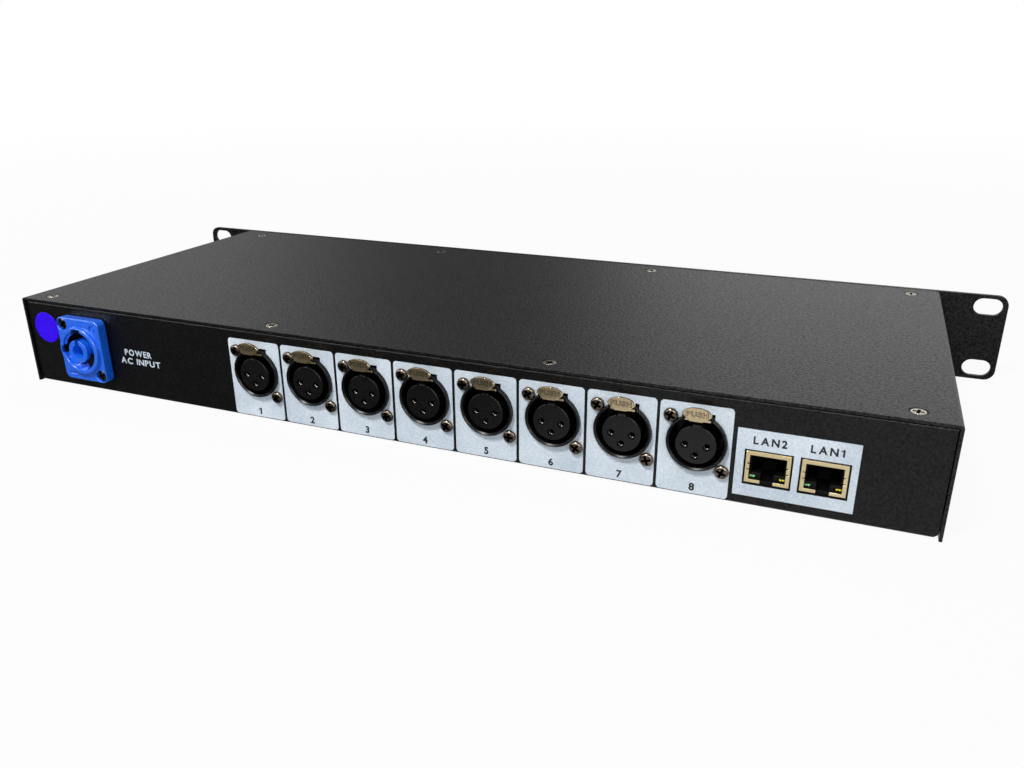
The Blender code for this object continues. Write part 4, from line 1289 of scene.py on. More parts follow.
@dataclass
class XlrRow:
    """The eight female XLR sockets: housing, contact carrier, contacts and PUSH latch of each."""

    frame: Frame
    recipe: Recipe
    ring_radius: float = 11.25 * MM
    bore_radius: float = 10.1 * MM
    lip: float = 0.62 * MM
    proud: float = 2.0 * MM
    depth: float = 17.0 * MM
    body: tuple[tuple[float, ...], ...] = (mm(-13, -13.8, -19.5), mm(13, 13.3, -1.5))
    insert_radius: float = 7.6 * MM
    insert_proud: float = 2.2 * MM
    insert_drop: float = 0.5 * MM
    contact_reach: float = 4.05 * MM
    contact_radius: float = 1.5 * MM
    contact_depth: float = 12 * MM
    sleeve_radius: float = 1.42 * MM
    sleeve_bore: float = 1.0 * MM
    sleeve_length: float = 9 * MM
    sleeve_drop: float = 1.1 * MM
    sleeve_edge: float = 0.2 * MM
    base_radius: float = 9.7 * MM
    base_height: float = 3 * MM
    pin_figure: float = 1.05 * MM
    word_height: float = 2.3 * MM
    word_width: float = 8.2 * MM
    word_depth: float = 0.42 * MM
    word_weight: float = 0.065
    tab_rise: float = 12.85 * MM
    tab_aside: float = 0.25 * MM
    tab_width: float = 10.6 * MM
    tab_height: float = 5.1 * MM
    tab_back: float = 4.3 * MM
    tab_face: float = 5.5 * MM
    screw: Screw = Screw(2.7 * MM, 1.75 * MM, 1.4 * MM)
    screw_places: tuple[tuple[float, ...], ...] = (mm(-10.1, 9.4), mm(9.85, -10.45))

    def housing(self) -> Mesh:
        """Draws a socket's black housing with its ring, shoulders and latch slot."""
        r, b, front = self.ring_radius, self.bore_radius, self.proud
        foot = -2.5 * MM
        body = Draft().box(*self.body, 1.5 * MM)
        ring = Draft().turned([(r, foot), (r, front, 0.55 * MM)])
        shoulders = Draft().box((-5.6 * MM, 8.6 * MM, foot), (5.6 * MM, 10.8 * MM, front), 0.5 * MM)
        bore = Draft().turned([(b, front - self.depth), (b, front - 0.55 * MM),
                               (b + self.lip, front + 0.07 * MM), (b + self.lip, front + OVER)])
        strip = Draft().box(mm(-5.2, 4.5, -12), mm(5.2, 10.1, 3))
        neck = Draft().box((-2.7 * MM, 9 * MM, front - 2.6 * MM), mm(2.7, 22, 3))
        return Workpiece(body).join(ring, shoulders).cut(bore, strip, neck).soften(0.12 * MM).mesh()

    def carrier(self) -> Mesh:
        """Draws a socket's contact carrier with its key, its three holes and the pins' numbers."""
        r, front, drop = self.insert_radius, self.insert_proud, -self.insert_drop
        back = self.proud - self.depth + GAP
        core = Draft().turned([(r, back), (r, front, 0.4 * MM)], (0, drop))
        base = Draft().rod(self.base_radius, back, back + self.base_height)
        key = Draft().box((-1.55 * MM, r / 2, back + 1.5 * MM),
                          (1.55 * MM, drop + r + 0.5 * MM, front - 0.12 * MM), 0.2 * MM)
        holes = Draft()
        for x, y in self.pins():
            holes.rod(self.contact_radius, front - self.contact_depth, front + OVER, (x, y), 48)
        holes.pair((1.6 * MM, drop + r - 0.9 * MM, front - 1.2 * MM),
                   (2.15 * MM, drop + r + OVER, front + OVER))
        gate = Draft().turned([(0.5 * MM, front - 0.3 * MM, 0.1 * MM), (0.5 * MM, front + OVER)], (0, drop),
                              segments=32)
        drawing = Draft().stamp(Workpiece(core).join(base, key).cut(holes, gate).soften(0.1 * MM).mesh())
        for word, x, y in (("2", -6.2, -0.4), ("1", 6.2, -0.4), ("3", 0.0, -6.5)):
            figure = lettering(word, self.pin_figure, mm(x, y), 0.18 * MM)
            drawing.stamp(figure, Matrix.Translation((0, 0, front - 0.06 * MM)))
        return drawing.mesh()

    def pins(self) -> list[tuple[float, float]]:
        """Where the three contacts stand about the socket's axis."""
        level, reach = -self.insert_drop - 0.3 * MM, self.contact_reach
        return [(-reach, level), (reach, level), (0.0, level - reach)]

    def latch(self) -> Mesh:
        """Draws a latch: strip, nose, bent neck and oval tab with its word."""
        front, rise, aside, face = self.proud, self.tab_rise, self.tab_aside, self.tab_face
        strip = Draft().box((-4.9 * MM, 9 * MM, front - 11.5 * MM), (4.9 * MM, 9.8 * MM, front), 0.5 * MM, 1)
        nose = Draft().box(mm(-2.4, 8.4, -9.2), mm(2.4, 9.4, -8.3))
        section = eased([(0.9, 9.1), (2.5, 9.1, 0.8), (5.35, 10.0, 0.7), (5.35, 12.5), (4.55, 12.5),
                         (4.55, 10.5, 0.4), (2.2, 9.75, 0.6), (0.9, 9.75)], True, 4)
        neck = Draft().prism([mm(*point) for point in section], -2.4 * MM, 2.4 * MM)
        turn = Matrix(((0, 0, 1, 0), (0, 1, 0, 0), (1, 0, 0, 0), (0, 0, 0, 1)))
        tab = self.tab().mesh(Matrix.Translation((aside, rise, 0)))
        work = Workpiece(strip).join(nose, neck.mesh(turn), tab).soften(0.06 * MM)
        word = lettering("PUSH", self.word_height, (aside, rise + 0.15 * MM), self.word_depth,
                         self.word_weight, self.word_width, 0.07, self.word_weight)
        made = Draft().stamp(work.mesh()).stamp(word, Matrix.Translation((0, 0, face - 0.25 * MM))).mesh()
        # The slopes round the raised letters are painted black as shade, which outlines the word.
        blackened(made, lambda at: face + 0.01 * MM < at.z < face + 0.14 * MM)
        return made

    def tab(self) -> Draft:
        """Draws the tab about its middle: an oval whose lower part ends in a flat edge with a broad slope."""
        a, b, back, face = self.tab_width / 2, self.tab_height / 2, self.tab_back, self.tab_face
        arc = [(a * cos(radians(x)), b * sin(radians(x))) for x in range(-8, 189, 7)]
        foot = eased([arc[-1], (-2.75 * MM, -b, 0.5 * MM), (2.75 * MM, -b, 0.5 * MM), arc[0]], False)
        rows = []
        for level, inset, lift in (
                (back, 0.35, 0.0), (back + 0.12 * MM, 0.1, 0.0), (back + 0.3 * MM, 0.0, 0.0),
                (face - 0.32 * MM, 0.0, 0.0), (face - 0.08 * MM, 0.2, 0.16), (face, 0.32, 0.22)):
            wide, high = 1 - inset * MM / a, 1 - inset * MM / b
            rows.append([(x * wide, y * high + lift * MM, level) for x, y in arc + foot[1:-1]])
        return Draft().loft(rows)

    def build(self) -> None:
        """Builds the row, its screws and its contacts."""
        parts = ((self.housing(), "housing", SOCKET_NYLON, "chassis", "xlr_shell"),
                 (self.carrier(), "carrier", CARRIER_NYLON, "chassis", "xlr_insert"),
                 (self.latch(), "latch", NICKEL, "latch_{}", "xlr_latch"))
        places = self.frame.sockets()
        for i, place in enumerate(places, start=1):
            for mesh, part, finish, body, node in parts:
                piece(f"socket_{i}_{part}", placed(mesh, Facing.REAR.at(place)), finish, body.format(i),
                      f"{node}_{i}")
        self.build_contacts(places)
        seats = [at + Vector((-u, 0, v)) for at in places for u, v in self.screw_places]
        self.screw.drive(self.recipe, "socket_screws", seats, Facing.REAR, DARK_NICKEL, 7)

    def build_contacts(self, places: list[Vector]) -> None:
        """Sets a contact sleeve in each hole of the sockets.

        Args:
            places: Each socket's axis where it leaves the rear wall.
        """
        outer, inner, top = self.sleeve_radius, self.sleeve_bore, self.insert_proud - self.sleeve_drop
        low, edge = top - self.sleeve_length, self.sleeve_edge
        sleeve = Draft().turned([(inner, low), (outer, low), (outer, top, edge / 2), (inner + edge, top),
                                 (inner, top - edge)], closed=True, segments=40)
        seats = [at + Vector((-x, 0, y)) for at in places for x, y in self.pins()]
        scattered(self.recipe, "socket_contacts", sleeve.mesh(), seats, Facing.REAR, SILVER)


@dataclass
class RearPrint:
    """What is printed on the rear wall and stuck to it: number fields, jack field, words and a dot."""

    frame: Frame
    plate_width: float = 26.9 * MM
    plate_low: float = 1.23 * MM
    plate_high: float = 37.63 * MM
    corner: float = 1.5 * MM
    shift: float = -0.76 * MM
    ink: float = 0.08 * MM
    on_ink: float = 0.064 * MM
    capital: float = 3.1 * MM
    figure: float = 3.2 * MM
    figure_aside: float = 0.65 * MM
    figure_level: float = 4.0 * MM
    jack_field: tuple[tuple[float, ...], ...] = (mm(138.65, 4.24), mm(180.57, 31.03))
    sticker: float = 7.75 * MM
    sticker_place: tuple[float, ...] = mm(198.0, 29.1)

    def plate_recipe(self) -> Recipe:
        """The tree that prints a row of equal fields, each with a hole and a window in it."""
        recipe = Recipe("number fields", count="Int", **dict.fromkeys((
            "pitch", "width", "height", "corner", "ink", "hole", "hole_x", "hole_y", "window", "window_top"),
            "Float"))
        outline = recipe.add("GeometryNodeCurvePrimitiveQuadrilateral",
                             {"Width": "width", "Height": "height"})
        outline = recipe.add("GeometryNodeFilletCurve", {"Curve": outline, "Radius": "corner", "Count": 6},
                             mode="POLY")
        line = recipe.add("GeometryNodeCurvePrimitiveLine", {
            "End": recipe.add("ShaderNodeCombineXYZ", {"Z": "ink"})})
        plate = recipe.add("GeometryNodeCurveToMesh", {
            "Curve": line, "Profile Curve": outline, "Fill Caps": True})
        hole = recipe.add("GeometryNodeMeshCylinder", {"Vertices": 96, "Radius": "hole", "Depth": PIERCE})
        size = recipe.add("ShaderNodeCombineXYZ", {"X": "window", "Y": "window_top", "Z": PIERCE})
        window = recipe.add("GeometryNodeMeshCube", {"Size": size})
        half = recipe.add("ShaderNodeMath", {0: "window_top", 1: 0.5}, operation="MULTIPLY")
        lift = recipe.add("ShaderNodeMath", {0: half, 1: "hole_y"}, operation="ADD")
        cutters = []
        for shape, level in ((hole, "hole_y"), (window, lift)):
            at = recipe.add("ShaderNodeCombineXYZ", {"X": "hole_x", "Y": level})
            cutters.append(recipe.add("GeometryNodeTransform", {"Geometry": shape, "Translation": at}))
        return recipe.close_row(recipe.add(
            "GeometryNodeMeshBoolean", {"Mesh 1": plate, "Mesh 2": cutters}, operation="DIFFERENCE",
            solver="EXACT"))

    def build_fields(self) -> None:
        """Prints the eight white fields and their numbers."""
        places = self.frame.sockets()
        height, middle = self.plate_high - self.plate_low, (self.plate_high + self.plate_low) / 2
        made = self.plate_recipe().grow(
            points([Vector()]), count=8, pitch=places[0].x - places[1].x, width=self.plate_width,
            height=height, corner=self.corner, ink=self.ink, hole=self.frame.socket_hole,
            hole_x=-self.shift, hole_y=places[0].z - middle, window=self.frame.shoulder_width,
            window_top=self.frame.shoulder_rise, finish=WHITE_INK.material())
        made.transform(Facing.REAR.at((places[0].x - self.shift, self.frame.rear, middle)))
        piece("number_fields", made, WHITE_INK, "chassis")
        figures = Draft()
        for i, place in enumerate(places, start=1):
            at = (place.x + self.figure_aside, self.frame.rear + self.on_ink, self.figure_level)
            figures.stamp(lettering(str(i), self.figure, (0, 0), self.ink, 0.035), Facing.REAR.at(at))
        piece("output_numbers", figures.mesh(), BLACK_INK, "chassis")

    def build_jack_field(self) -> None:
        """Prints the field round the network jacks and its words."""
        at = Facing.REAR.at((0, self.frame.rear, 0))
        low, high = self.jack_field
        ground = Draft().box((*low, 0), (*high, self.ink))
        windows = Draft()
        for place in self.frame.jacks():
            windows.box((-place.x - 8.55 * MM, place.z - 13.4 * MM, -OVER),
                        (-place.x + 8.55 * MM, place.z + 0.65 * MM, OVER))
        piece("jack_field", Workpiece(ground).cut(windows).mesh(at), WHITE_INK, "chassis")
        words = Draft()
        for word, left, right in (("LAN2", 144.4, 156.1), ("LAN1", 164.0, 175.3)):
            made = lettering(word, self.capital, mm((left + right) / 2, 26.9), self.ink, 0.032,
                             (right - left) * MM, 0.2)
            words.stamp(made, at @ Matrix.Translation((0, 0, self.on_ink)))
        piece("jack_words", words.mesh(), BLACK_INK, "chassis")

    def build_power_words(self) -> None:
        """Prints the two lines beside the mains inlet."""
        words = Draft()
        for word, x, y, width in (("POWER", -141.1, 22.6, 16.2), ("AC INPUT", -140.3, 18.3, 24.0)):
            words.stamp(lettering(word, self.capital, mm(x, y), self.ink, 0.02, width * MM, 0.13))
        piece("power_words", words.mesh(Facing.REAR.at((0, self.frame.rear, 0))), WHITE_INK, "chassis")

    def build_sticker(self) -> None:
        """Sticks the round violet dot beside the inlet."""
        r, (x, z) = self.sticker, self.sticker_place
        dot = Draft().turned([(r, 0), (r - 0.3 * MM, 0.2 * MM, 0.06 * MM)])
        piece("round_sticker", dot.mesh(Facing.REAR.at((x, self.frame.rear, z))), VINYL, "chassis")

    def build(self) -> None:
        """Prints everything."""
        self.build_fields()
        self.build_jack_field()
        self.build_power_words()
        self.build_sticker()


@dataclass
class NetworkJacks:
    """The two shielded network jacks with their contacts and lamps."""

    frame: Frame
    half_width: float = 7.9 * MM
    height: float = 12.5 * MM
    depth: float = 21.0 * MM
    sheet: float = 0.4 * MM
    half_notch: float = 2.3 * MM
    face: float = -1.3 * MM
    wires: int = 8
    wire_pitch: float = 1.02 * MM
    wire_radius: float = 0.22 * MM
    wire_back: float = -9.5 * MM
    wire_down: float = -2.6 * MM
    wire_place: tuple[float, ...] = mm(-3.57, -2.5, -4.2)

    def shield(self) -> Mesh:
        """Draws the folded shield with its frame, notch and side springs."""
        half, sheet, height, notch = self.half_width, self.sheet, self.height, self.half_notch
        shell = Draft().box((-half, -height, -self.depth), (half, 0, 0))
        inner = Draft().box((-half + sheet, -height - sheet, -self.depth - sheet),
                            (half - sheet, -sheet, -sheet))
        lip = half - 1.45 * MM
        mouth = Draft().box((-lip, -height + 1.247 * MM, -OVER), (lip, -1.55 * MM, OVER))
        way = Draft().box((-notch, -height - OVER, -OVER), (notch, -height + 2.9 * MM, OVER))
        springs = Draft()
        for level in (-7.6, -5.2):
            springs.pair((lip * 0.99, level * MM, -OVER), (half - 0.55 * MM, (level + 0.45) * MM, OVER))
        return Workpiece(shell).cut(inner, mouth, way, springs).soften(0.1 * MM).mesh()

    def housing(self) -> Mesh:
        """Draws the black body with its mouth, latch way and lamp pockets."""
        face, back, notch = self.face, -self.depth + GAP, self.half_notch
        wide = self.half_width - self.sheet - GAP
        body = Draft().box((-wide, -13.5 * MM, back), (wide, -0.7 * MM, face))
        mouth = Draft().box((-5.95 * MM, -8.95 * MM, face - 14 * MM), (5.95 * MM, -2.05 * MM, OVER))
        way = Draft().box((-notch, -11.9 * MM, face - 11.2 * MM), (notch, -2.35 * MM, OVER))
        pockets = Draft().pair((3.775 * MM, -11.253 * MM, face - 2.8 * MM), (6.775 * MM, -9.853 * MM, OVER))
        return Workpiece(body).cut(mouth, way, pockets).soften(0.15 * MM).mesh()

    def lamp(self, side: int) -> Mesh:
        """Draws the lamp of one side: a light guide that ends in two small lenses under a hood.

        Args:
            side: -1 for the left lamp, 1 for the right.

        Returns:
            The lamp.
        """
        low, high = sorted((side * 4.2, side * 6.4))
        work = Workpiece(Draft().box(mm(low, -10.95, -3.8), mm(high, -9.9, -2.0)))
        for reach in (4.75, 5.75):
            work.join(Draft().turned([mm(0.42, -2.6), mm(0.42, -1.6), mm(0.3, -1.4), mm(0, -1.32)],
                                     mm(side * reach, -10.5), segments=24))
        return work.mesh()

    def contact_recipe(self) -> Recipe:
        """The tree that bends one spring wire back and down and repeats it across the mouth."""
        recipe = Recipe("jack contacts", count="Int", pitch="Float", wire="Float", back="Float", down="Float")
        curve = recipe.add("GeometryNodeCurvePrimitiveBezierSegment", {
            "Resolution": 14, "Start": (0.0, 0.0, 0.0), "Start Handle": mm(0, 0.35, -0.8),
            "End Handle": recipe.add("ShaderNodeCombineXYZ", {"Y": "down", "Z": -2.5 * MM}),
            "End": recipe.add("ShaderNodeCombineXYZ", {"Y": "down", "Z": "back"})})
        section = recipe.add("GeometryNodeCurvePrimitiveCircle", {"Resolution": 10, "Radius": "wire"})
        return recipe.close_row(recipe.add("GeometryNodeCurveToMesh", {
            "Curve": curve, "Profile Curve": section, "Fill Caps": True}))

    def build(self) -> None:
        """Builds both jacks."""
        parts = ((self.shield(), "shield", TIN, "shield"), (self.housing(), "body", JACK_NYLON, "housing"),
                 (self.lamp(-1), "green_lamp", GREEN_RESIN, "lamp_green"),
                 (self.lamp(1), "yellow_lamp", YELLOW_RESIN, "lamp_yellow"))
        recipe = self.contact_recipe()
        for i, place in enumerate(self.frame.jacks(), start=1):
            at = Facing.REAR.at(place)
            for mesh, part, finish, node in parts:
                piece(f"jack_{i}_{part}", placed(mesh, at), finish, "chassis", f"ethernet_{node}_{i}")
            wires = recipe.grow(points([Vector()]), count=self.wires, pitch=self.wire_pitch,
                                wire=self.wire_radius, back=self.wire_back, down=self.wire_down,
                                finish=GOLD.material())
            wires.transform(at @ Matrix.Translation(self.wire_place))
            piece(f"jack_{i}_contacts", wires, GOLD, "chassis")


@dataclass
class MainsInlet:
    """The blue locking mains inlet, its carrier and blades, and a black sheet of painted shade in its socket.
    """

    frame: Frame
    recipe: Recipe
    width: float = 26.2 * MM
    height: float = 31.2 * MM
    flange: float = 5.3 * MM
    collar: float = 12.0 * MM
    proud: float = 1.7 * MM
    depth: float = 19 * MM
    mouth: float = 9.6 * MM
    lip: float = 0.35 * MM
    barrel: float = 11.6 * MM
    barrel_back: float = -19.2 * MM
    ledge: float = 9.8 * MM
    core: float = 5.7 * MM
    core_place: tuple[float, ...] = mm(-0.4, -0.25)
    well: float = 3.1 * MM
    screw: Screw = Screw(2.9 * MM, 1.9 * MM, 1.4 * MM, length=6 * MM)
    screw_place: tuple[float, ...] = mm(9.8, 12.1)
    screw_sink: float = 2.4 * MM

    @property
    def front(self) -> float:
        """How far the collar's face stands before the wall."""
        return self.flange + self.proud

    def flange_plate(self) -> Mesh:
        """Draws the flange with its broadly rounded edge."""
        plate = Draft().prism(rounded_field(self.width, self.height, 3 * MM), 0.3 * MM, self.flange)
        return Workpiece(plate).soften(0.6 * MM, steps=5).mesh()

    def ledges(self) -> Draft:
        """Draws the socket's three ledges, each with its own depth below the face."""
        drawing = Draft()
        # from and to in degrees, then depth and inner radius in millimetres
        for start, end, drop, inner in ((116, 164, 0.9, 8.5), (188, 292, 2.2, 7.3), (-24, 62, 3.4, 7.3)):
            drawing.prism(sector(start, end, 6, self.ledge, inner * MM), self.front - self.depth - LAP,
                          self.front - drop * MM)
        return drawing

    def flange_holes(self) -> Draft:
        """Draws the stepped screw holes in two corners of the flange."""
        face, (x, y) = self.flange, self.screw_place
        seat = face - self.screw_sink
        drawing = Draft()
        for side in (-1, 1):
            drawing.turned([mm(1.7, -5), (1.7 * MM, seat), (3.0 * MM, seat), (3.0 * MM, face - 0.2 * MM),
                            (3.25 * MM, face + 0.05 * MM), (3.25 * MM, face + OVER)],
                           (-side * x, side * y), segments=64)
        return drawing

    def flange_marks(self) -> Draft:
        """Draws the sunk ring and bar in the flange's other two corners."""
        x, y, low, high = self.width / 2, self.height / 2, self.flange - 0.5 * MM, self.flange + OVER
        ring = [(0.8 * MM, low), (1.95 * MM, low), (1.95 * MM, high), (0.8 * MM, high)]
        marks = Draft().turned(ring, (x - 3.7 * MM, y - 4.0 * MM), True, 48)
        return marks.box((-x + 2.2 * MM, -y + 2.3 * MM, low), (-x + 7.2 * MM, -y + 3.8 * MM, high), 0.6 * MM)

    def shell(self, place: Matrix) -> Mesh:
        """Draws the flange, the collar and the keyed socket with its ledges and core.

        Args:
            place: The transform from the drawing to the unit.

        Returns:
            The inlet's blue body.
        """
        front = self.front
        floor, over = front - self.depth, front + OVER
        collar = Draft().turned([(self.collar, self.flange - LAP), (self.collar - 0.4 * MM, front, 0.6 * MM)])
        barrel = Draft().rod(self.barrel, self.barrel_back, self.flange / 2)
        mouth = Draft().turned([(self.mouth, floor), (self.mouth, front - 0.3 * MM),
                                (self.mouth + self.lip, front + 0.05 * MM), (self.mouth + self.lip, over)])
        top_key = Draft().box((-2.7 * MM, 2.85 * MM, floor), (2.7 * MM, 10.9 * MM, over), 0.3 * MM)
        side_key = Draft().box((-10.6 * MM, -1.8 * MM, floor), (-2.85 * MM, 1.8 * MM, over), 0.3 * MM)
        reach = self.mouth * sin(pi / 4) + 1.1 * MM
        lower_key = Draft().box((2.85 * MM, -reach, floor), (reach, -1.14 * MM, front - 2.25 * MM))
        core = Draft().turned([(self.core, floor - LAP), (self.core, front - 0.02 * MM, 0.35 * MM)],
                              self.core_place)
        well = Draft().turned([(self.well, floor + LAP), (self.well, front - 0.5 * MM),
                               (self.well + 0.3 * MM, front - 0.1 * MM), (self.well + 0.3 * MM, over)],
                              self.core_place)
        gap = Draft().box((-1.5 * MM, 0, floor + LAP), (0.7 * MM, 6.3 * MM, over))
        work = Workpiece(self.flange_plate()).join(collar, barrel).cut(mouth).join(self.ledges())
        work.cut(top_key, side_key, lower_key).join(core)
        work.cut(well, gap, self.flange_holes(), self.flange_marks())
        return work.soften(0.22 * MM, 50).mesh(place)

    def liner(self) -> Draft:
        """Draws a black sheet behind the ledges, round the core and in the well, as painted shade in the
        socket's depths.
        """
        front, low = self.front, self.front - 18 * MM
        inner, outer, top = self.core + 0.1 * MM, self.mouth - 0.1 * MM, front - 6.5 * MM
        drawing = Draft().turned([(inner, low), (outer, low), (outer, top, 0.3 * MM), (inner, top, 0.3 * MM)],
                                 closed=True)
        foot = front - 7 * MM
        # from and to in degrees, then outer radius and depth in millimetres
        for start, end, radius, drop in ((62, 116, 9.55, 0.7), (116, 164, 8.45, 1.6), (164, 188, 9.55, 0.7),
                                         (292, 336, 9.55, 0.7)):
            drawing.prism(sector(start, end, 4, radius * MM, (radius - 0.3) * MM), foot, front - drop * MM)
        drawing.box((-2.6 * MM, 9.2 * MM, foot), (2.6 * MM, 10.8 * MM, front - 1.1 * MM))
        drawing.box((-10.5 * MM, -1.7 * MM, foot), (-9.2 * MM, 1.7 * MM, front - 1.1 * MM))
        drawing.box((2.9 * MM, -7.8 * MM, front - 2.6 * MM), (7.8 * MM, -1.25 * MM, front - 2.1 * MM))
        return drawing.rod(2.9 * MM, low, front - 8 * MM, self.core_place)

    def build(self) -> None:
        """Builds the inlet, its screws and the painted shade in its socket, and dresses what stands behind
        it.
        """
        place = self.frame.inlet()
        at = Facing.REAR.at(place)
        piece("inlet_body", self.shell(at), BLUE_NYLON, "chassis", "power_inlet_shell")
        # A black sheet inside the socket paints the shade of its depths.
        piece("inlet_carrier", self.liner().mesh(at), SOCKET_NYLON, "chassis")
        x, z = self.screw_place
        seats = [place + Vector((side * x, self.flange - self.screw_sink, side * z)) for side in (-1, 1)]
        self.screw.drive(self.recipe, "inlet_screws", seats, Facing.REAR, DARK_NICKEL, 2)
        self.frame.dress(SOCKET_NYLON, "power_inlet_insert")
        self.frame.dress(BRASS, "power_contact_line", "power_contact_neutral", "power_contact_earth")


@dataclass
class FrontControls:
    """The display's window, the push buttons and the lamps on the front."""

    frame: Frame
    button_radius: float = 4.0 * MM
    collar_radius: float = 5.0 * MM
    lamp_radius: float = 1.5 * MM
    lamp_dome: float = 0.8 * MM
    figure: float = 2.6 * MM
    figure_rise: float = 5.2 * MM
    ink: float = 0.08 * MM

    def build_buttons(self) -> None:
        """Builds the four dished push buttons with their collars."""
        r, collar = self.button_radius, self.collar_radius
        for i, node in enumerate(BUTTONS, start=1):
            low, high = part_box(node)
            back = low.y - high.y
            profile = [(r, back), (r, back + 1.2 * MM), (collar, back + 1.2 * MM), (collar, back + 2.2 * MM),
                       (r, back + 2.2 * MM), (r, -0.35 * MM, 0.3 * MM), (r - 0.7 * MM, 0, 0.3 * MM),
                       (r - 1.6 * MM, -0.12 * MM), (0, -0.3 * MM)]
            cap = Draft().turned(profile, segments=64).mesh(self.frame.front(node))
            piece(f"button_{i}_cap", cap, BUTTON_ABS, f"button_{i}", node)

    def build_lamps(self) -> None:
        """Builds the domed lamps: one for the supply and one for each output."""
        r, rise = self.lamp_radius, self.lamp_dome
        dome = [(r * cos(a), rise * sin(a) - rise) for a in (radians(x) for x in (0, 18, 36, 54, 72))]
        for name, finish in [("power_lamp", RED_RESIN)] + [(name, GREEN_RESIN) for name in OUTPUT_LAMPS]:
            low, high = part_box(name)
            lamp = Draft().turned([(r, low.y - high.y), *dome, (0, 0)], segments=40)
            piece(f"{name}_dome", lamp.mesh(self.frame.front(name)), finish, "chassis", name)

    def build_numbers(self) -> None:
        """Prints a number above each output's lamp."""
        drawing = Draft()
        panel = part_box("front_panel")[0].y
        for i, name in enumerate(OUTPUT_LAMPS, start=1):
            drawing.stamp(lettering(str(i), self.figure, (0, 0), self.ink, 0.01),
                          self.frame.front(name, panel, self.figure_rise))
        piece("lamp_numbers", drawing.mesh(), WHITE_INK, "chassis")

    def build_window(self) -> None:
        """Builds the smoked window in its opening."""
        low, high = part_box("display_window")
        sheet = Draft().prism(rounded_field(high.x - low.x, high.z - low.z, 0.9 * MM), low.y - high.y, 0)
        window = Workpiece(sheet).soften(0.2 * MM).mesh(self.frame.front("display_window"))
        piece("window", window, ACRYLIC, "chassis", "display_window")

    def build(self) -> None:
        """Builds and dresses the front's controls."""
        self.build_buttons()
        self.build_lamps()
        self.build_numbers()
        self.build_window()
        self.frame.dress(DISPLAY_GLASS, "display_module")


@dataclass
class Insides:
    """What the closed case holds: boards and the mains supply."""

    frame: Frame

    def build(self) -> None:
        """Gives the inner pieces their finishes."""
        self.frame.dress(MASK, "main_board", "control_board")
        self.frame.dress(ZINC, "power_supply")


# ---------------------------------------------------------------- the studio


@dataclass(frozen=True)
class SoftLight:
    """A square soft light that looks at a point on the unit."""

    name: str
    place: tuple[float, float, float]
    size: float
    watts: float
    target: tuple[float, float, float] = (0.0, 0.0, 0.02)
    mirrored: bool = False

    def hang(self) -> None:
        """Hangs the light."""
        lamp = bpy.data.lights.new(self.name, "AREA")
        lamp.size = self.size
        lamp.energy = self.watts
        host = linked(self.name, lamp)
        host.location = self.place
        host.visible_glossy = self.mirrored
        look = Vector(self.target) - Vector(self.place)
        host.rotation_euler = look.to_track_quat("-Z", "Y").to_euler()


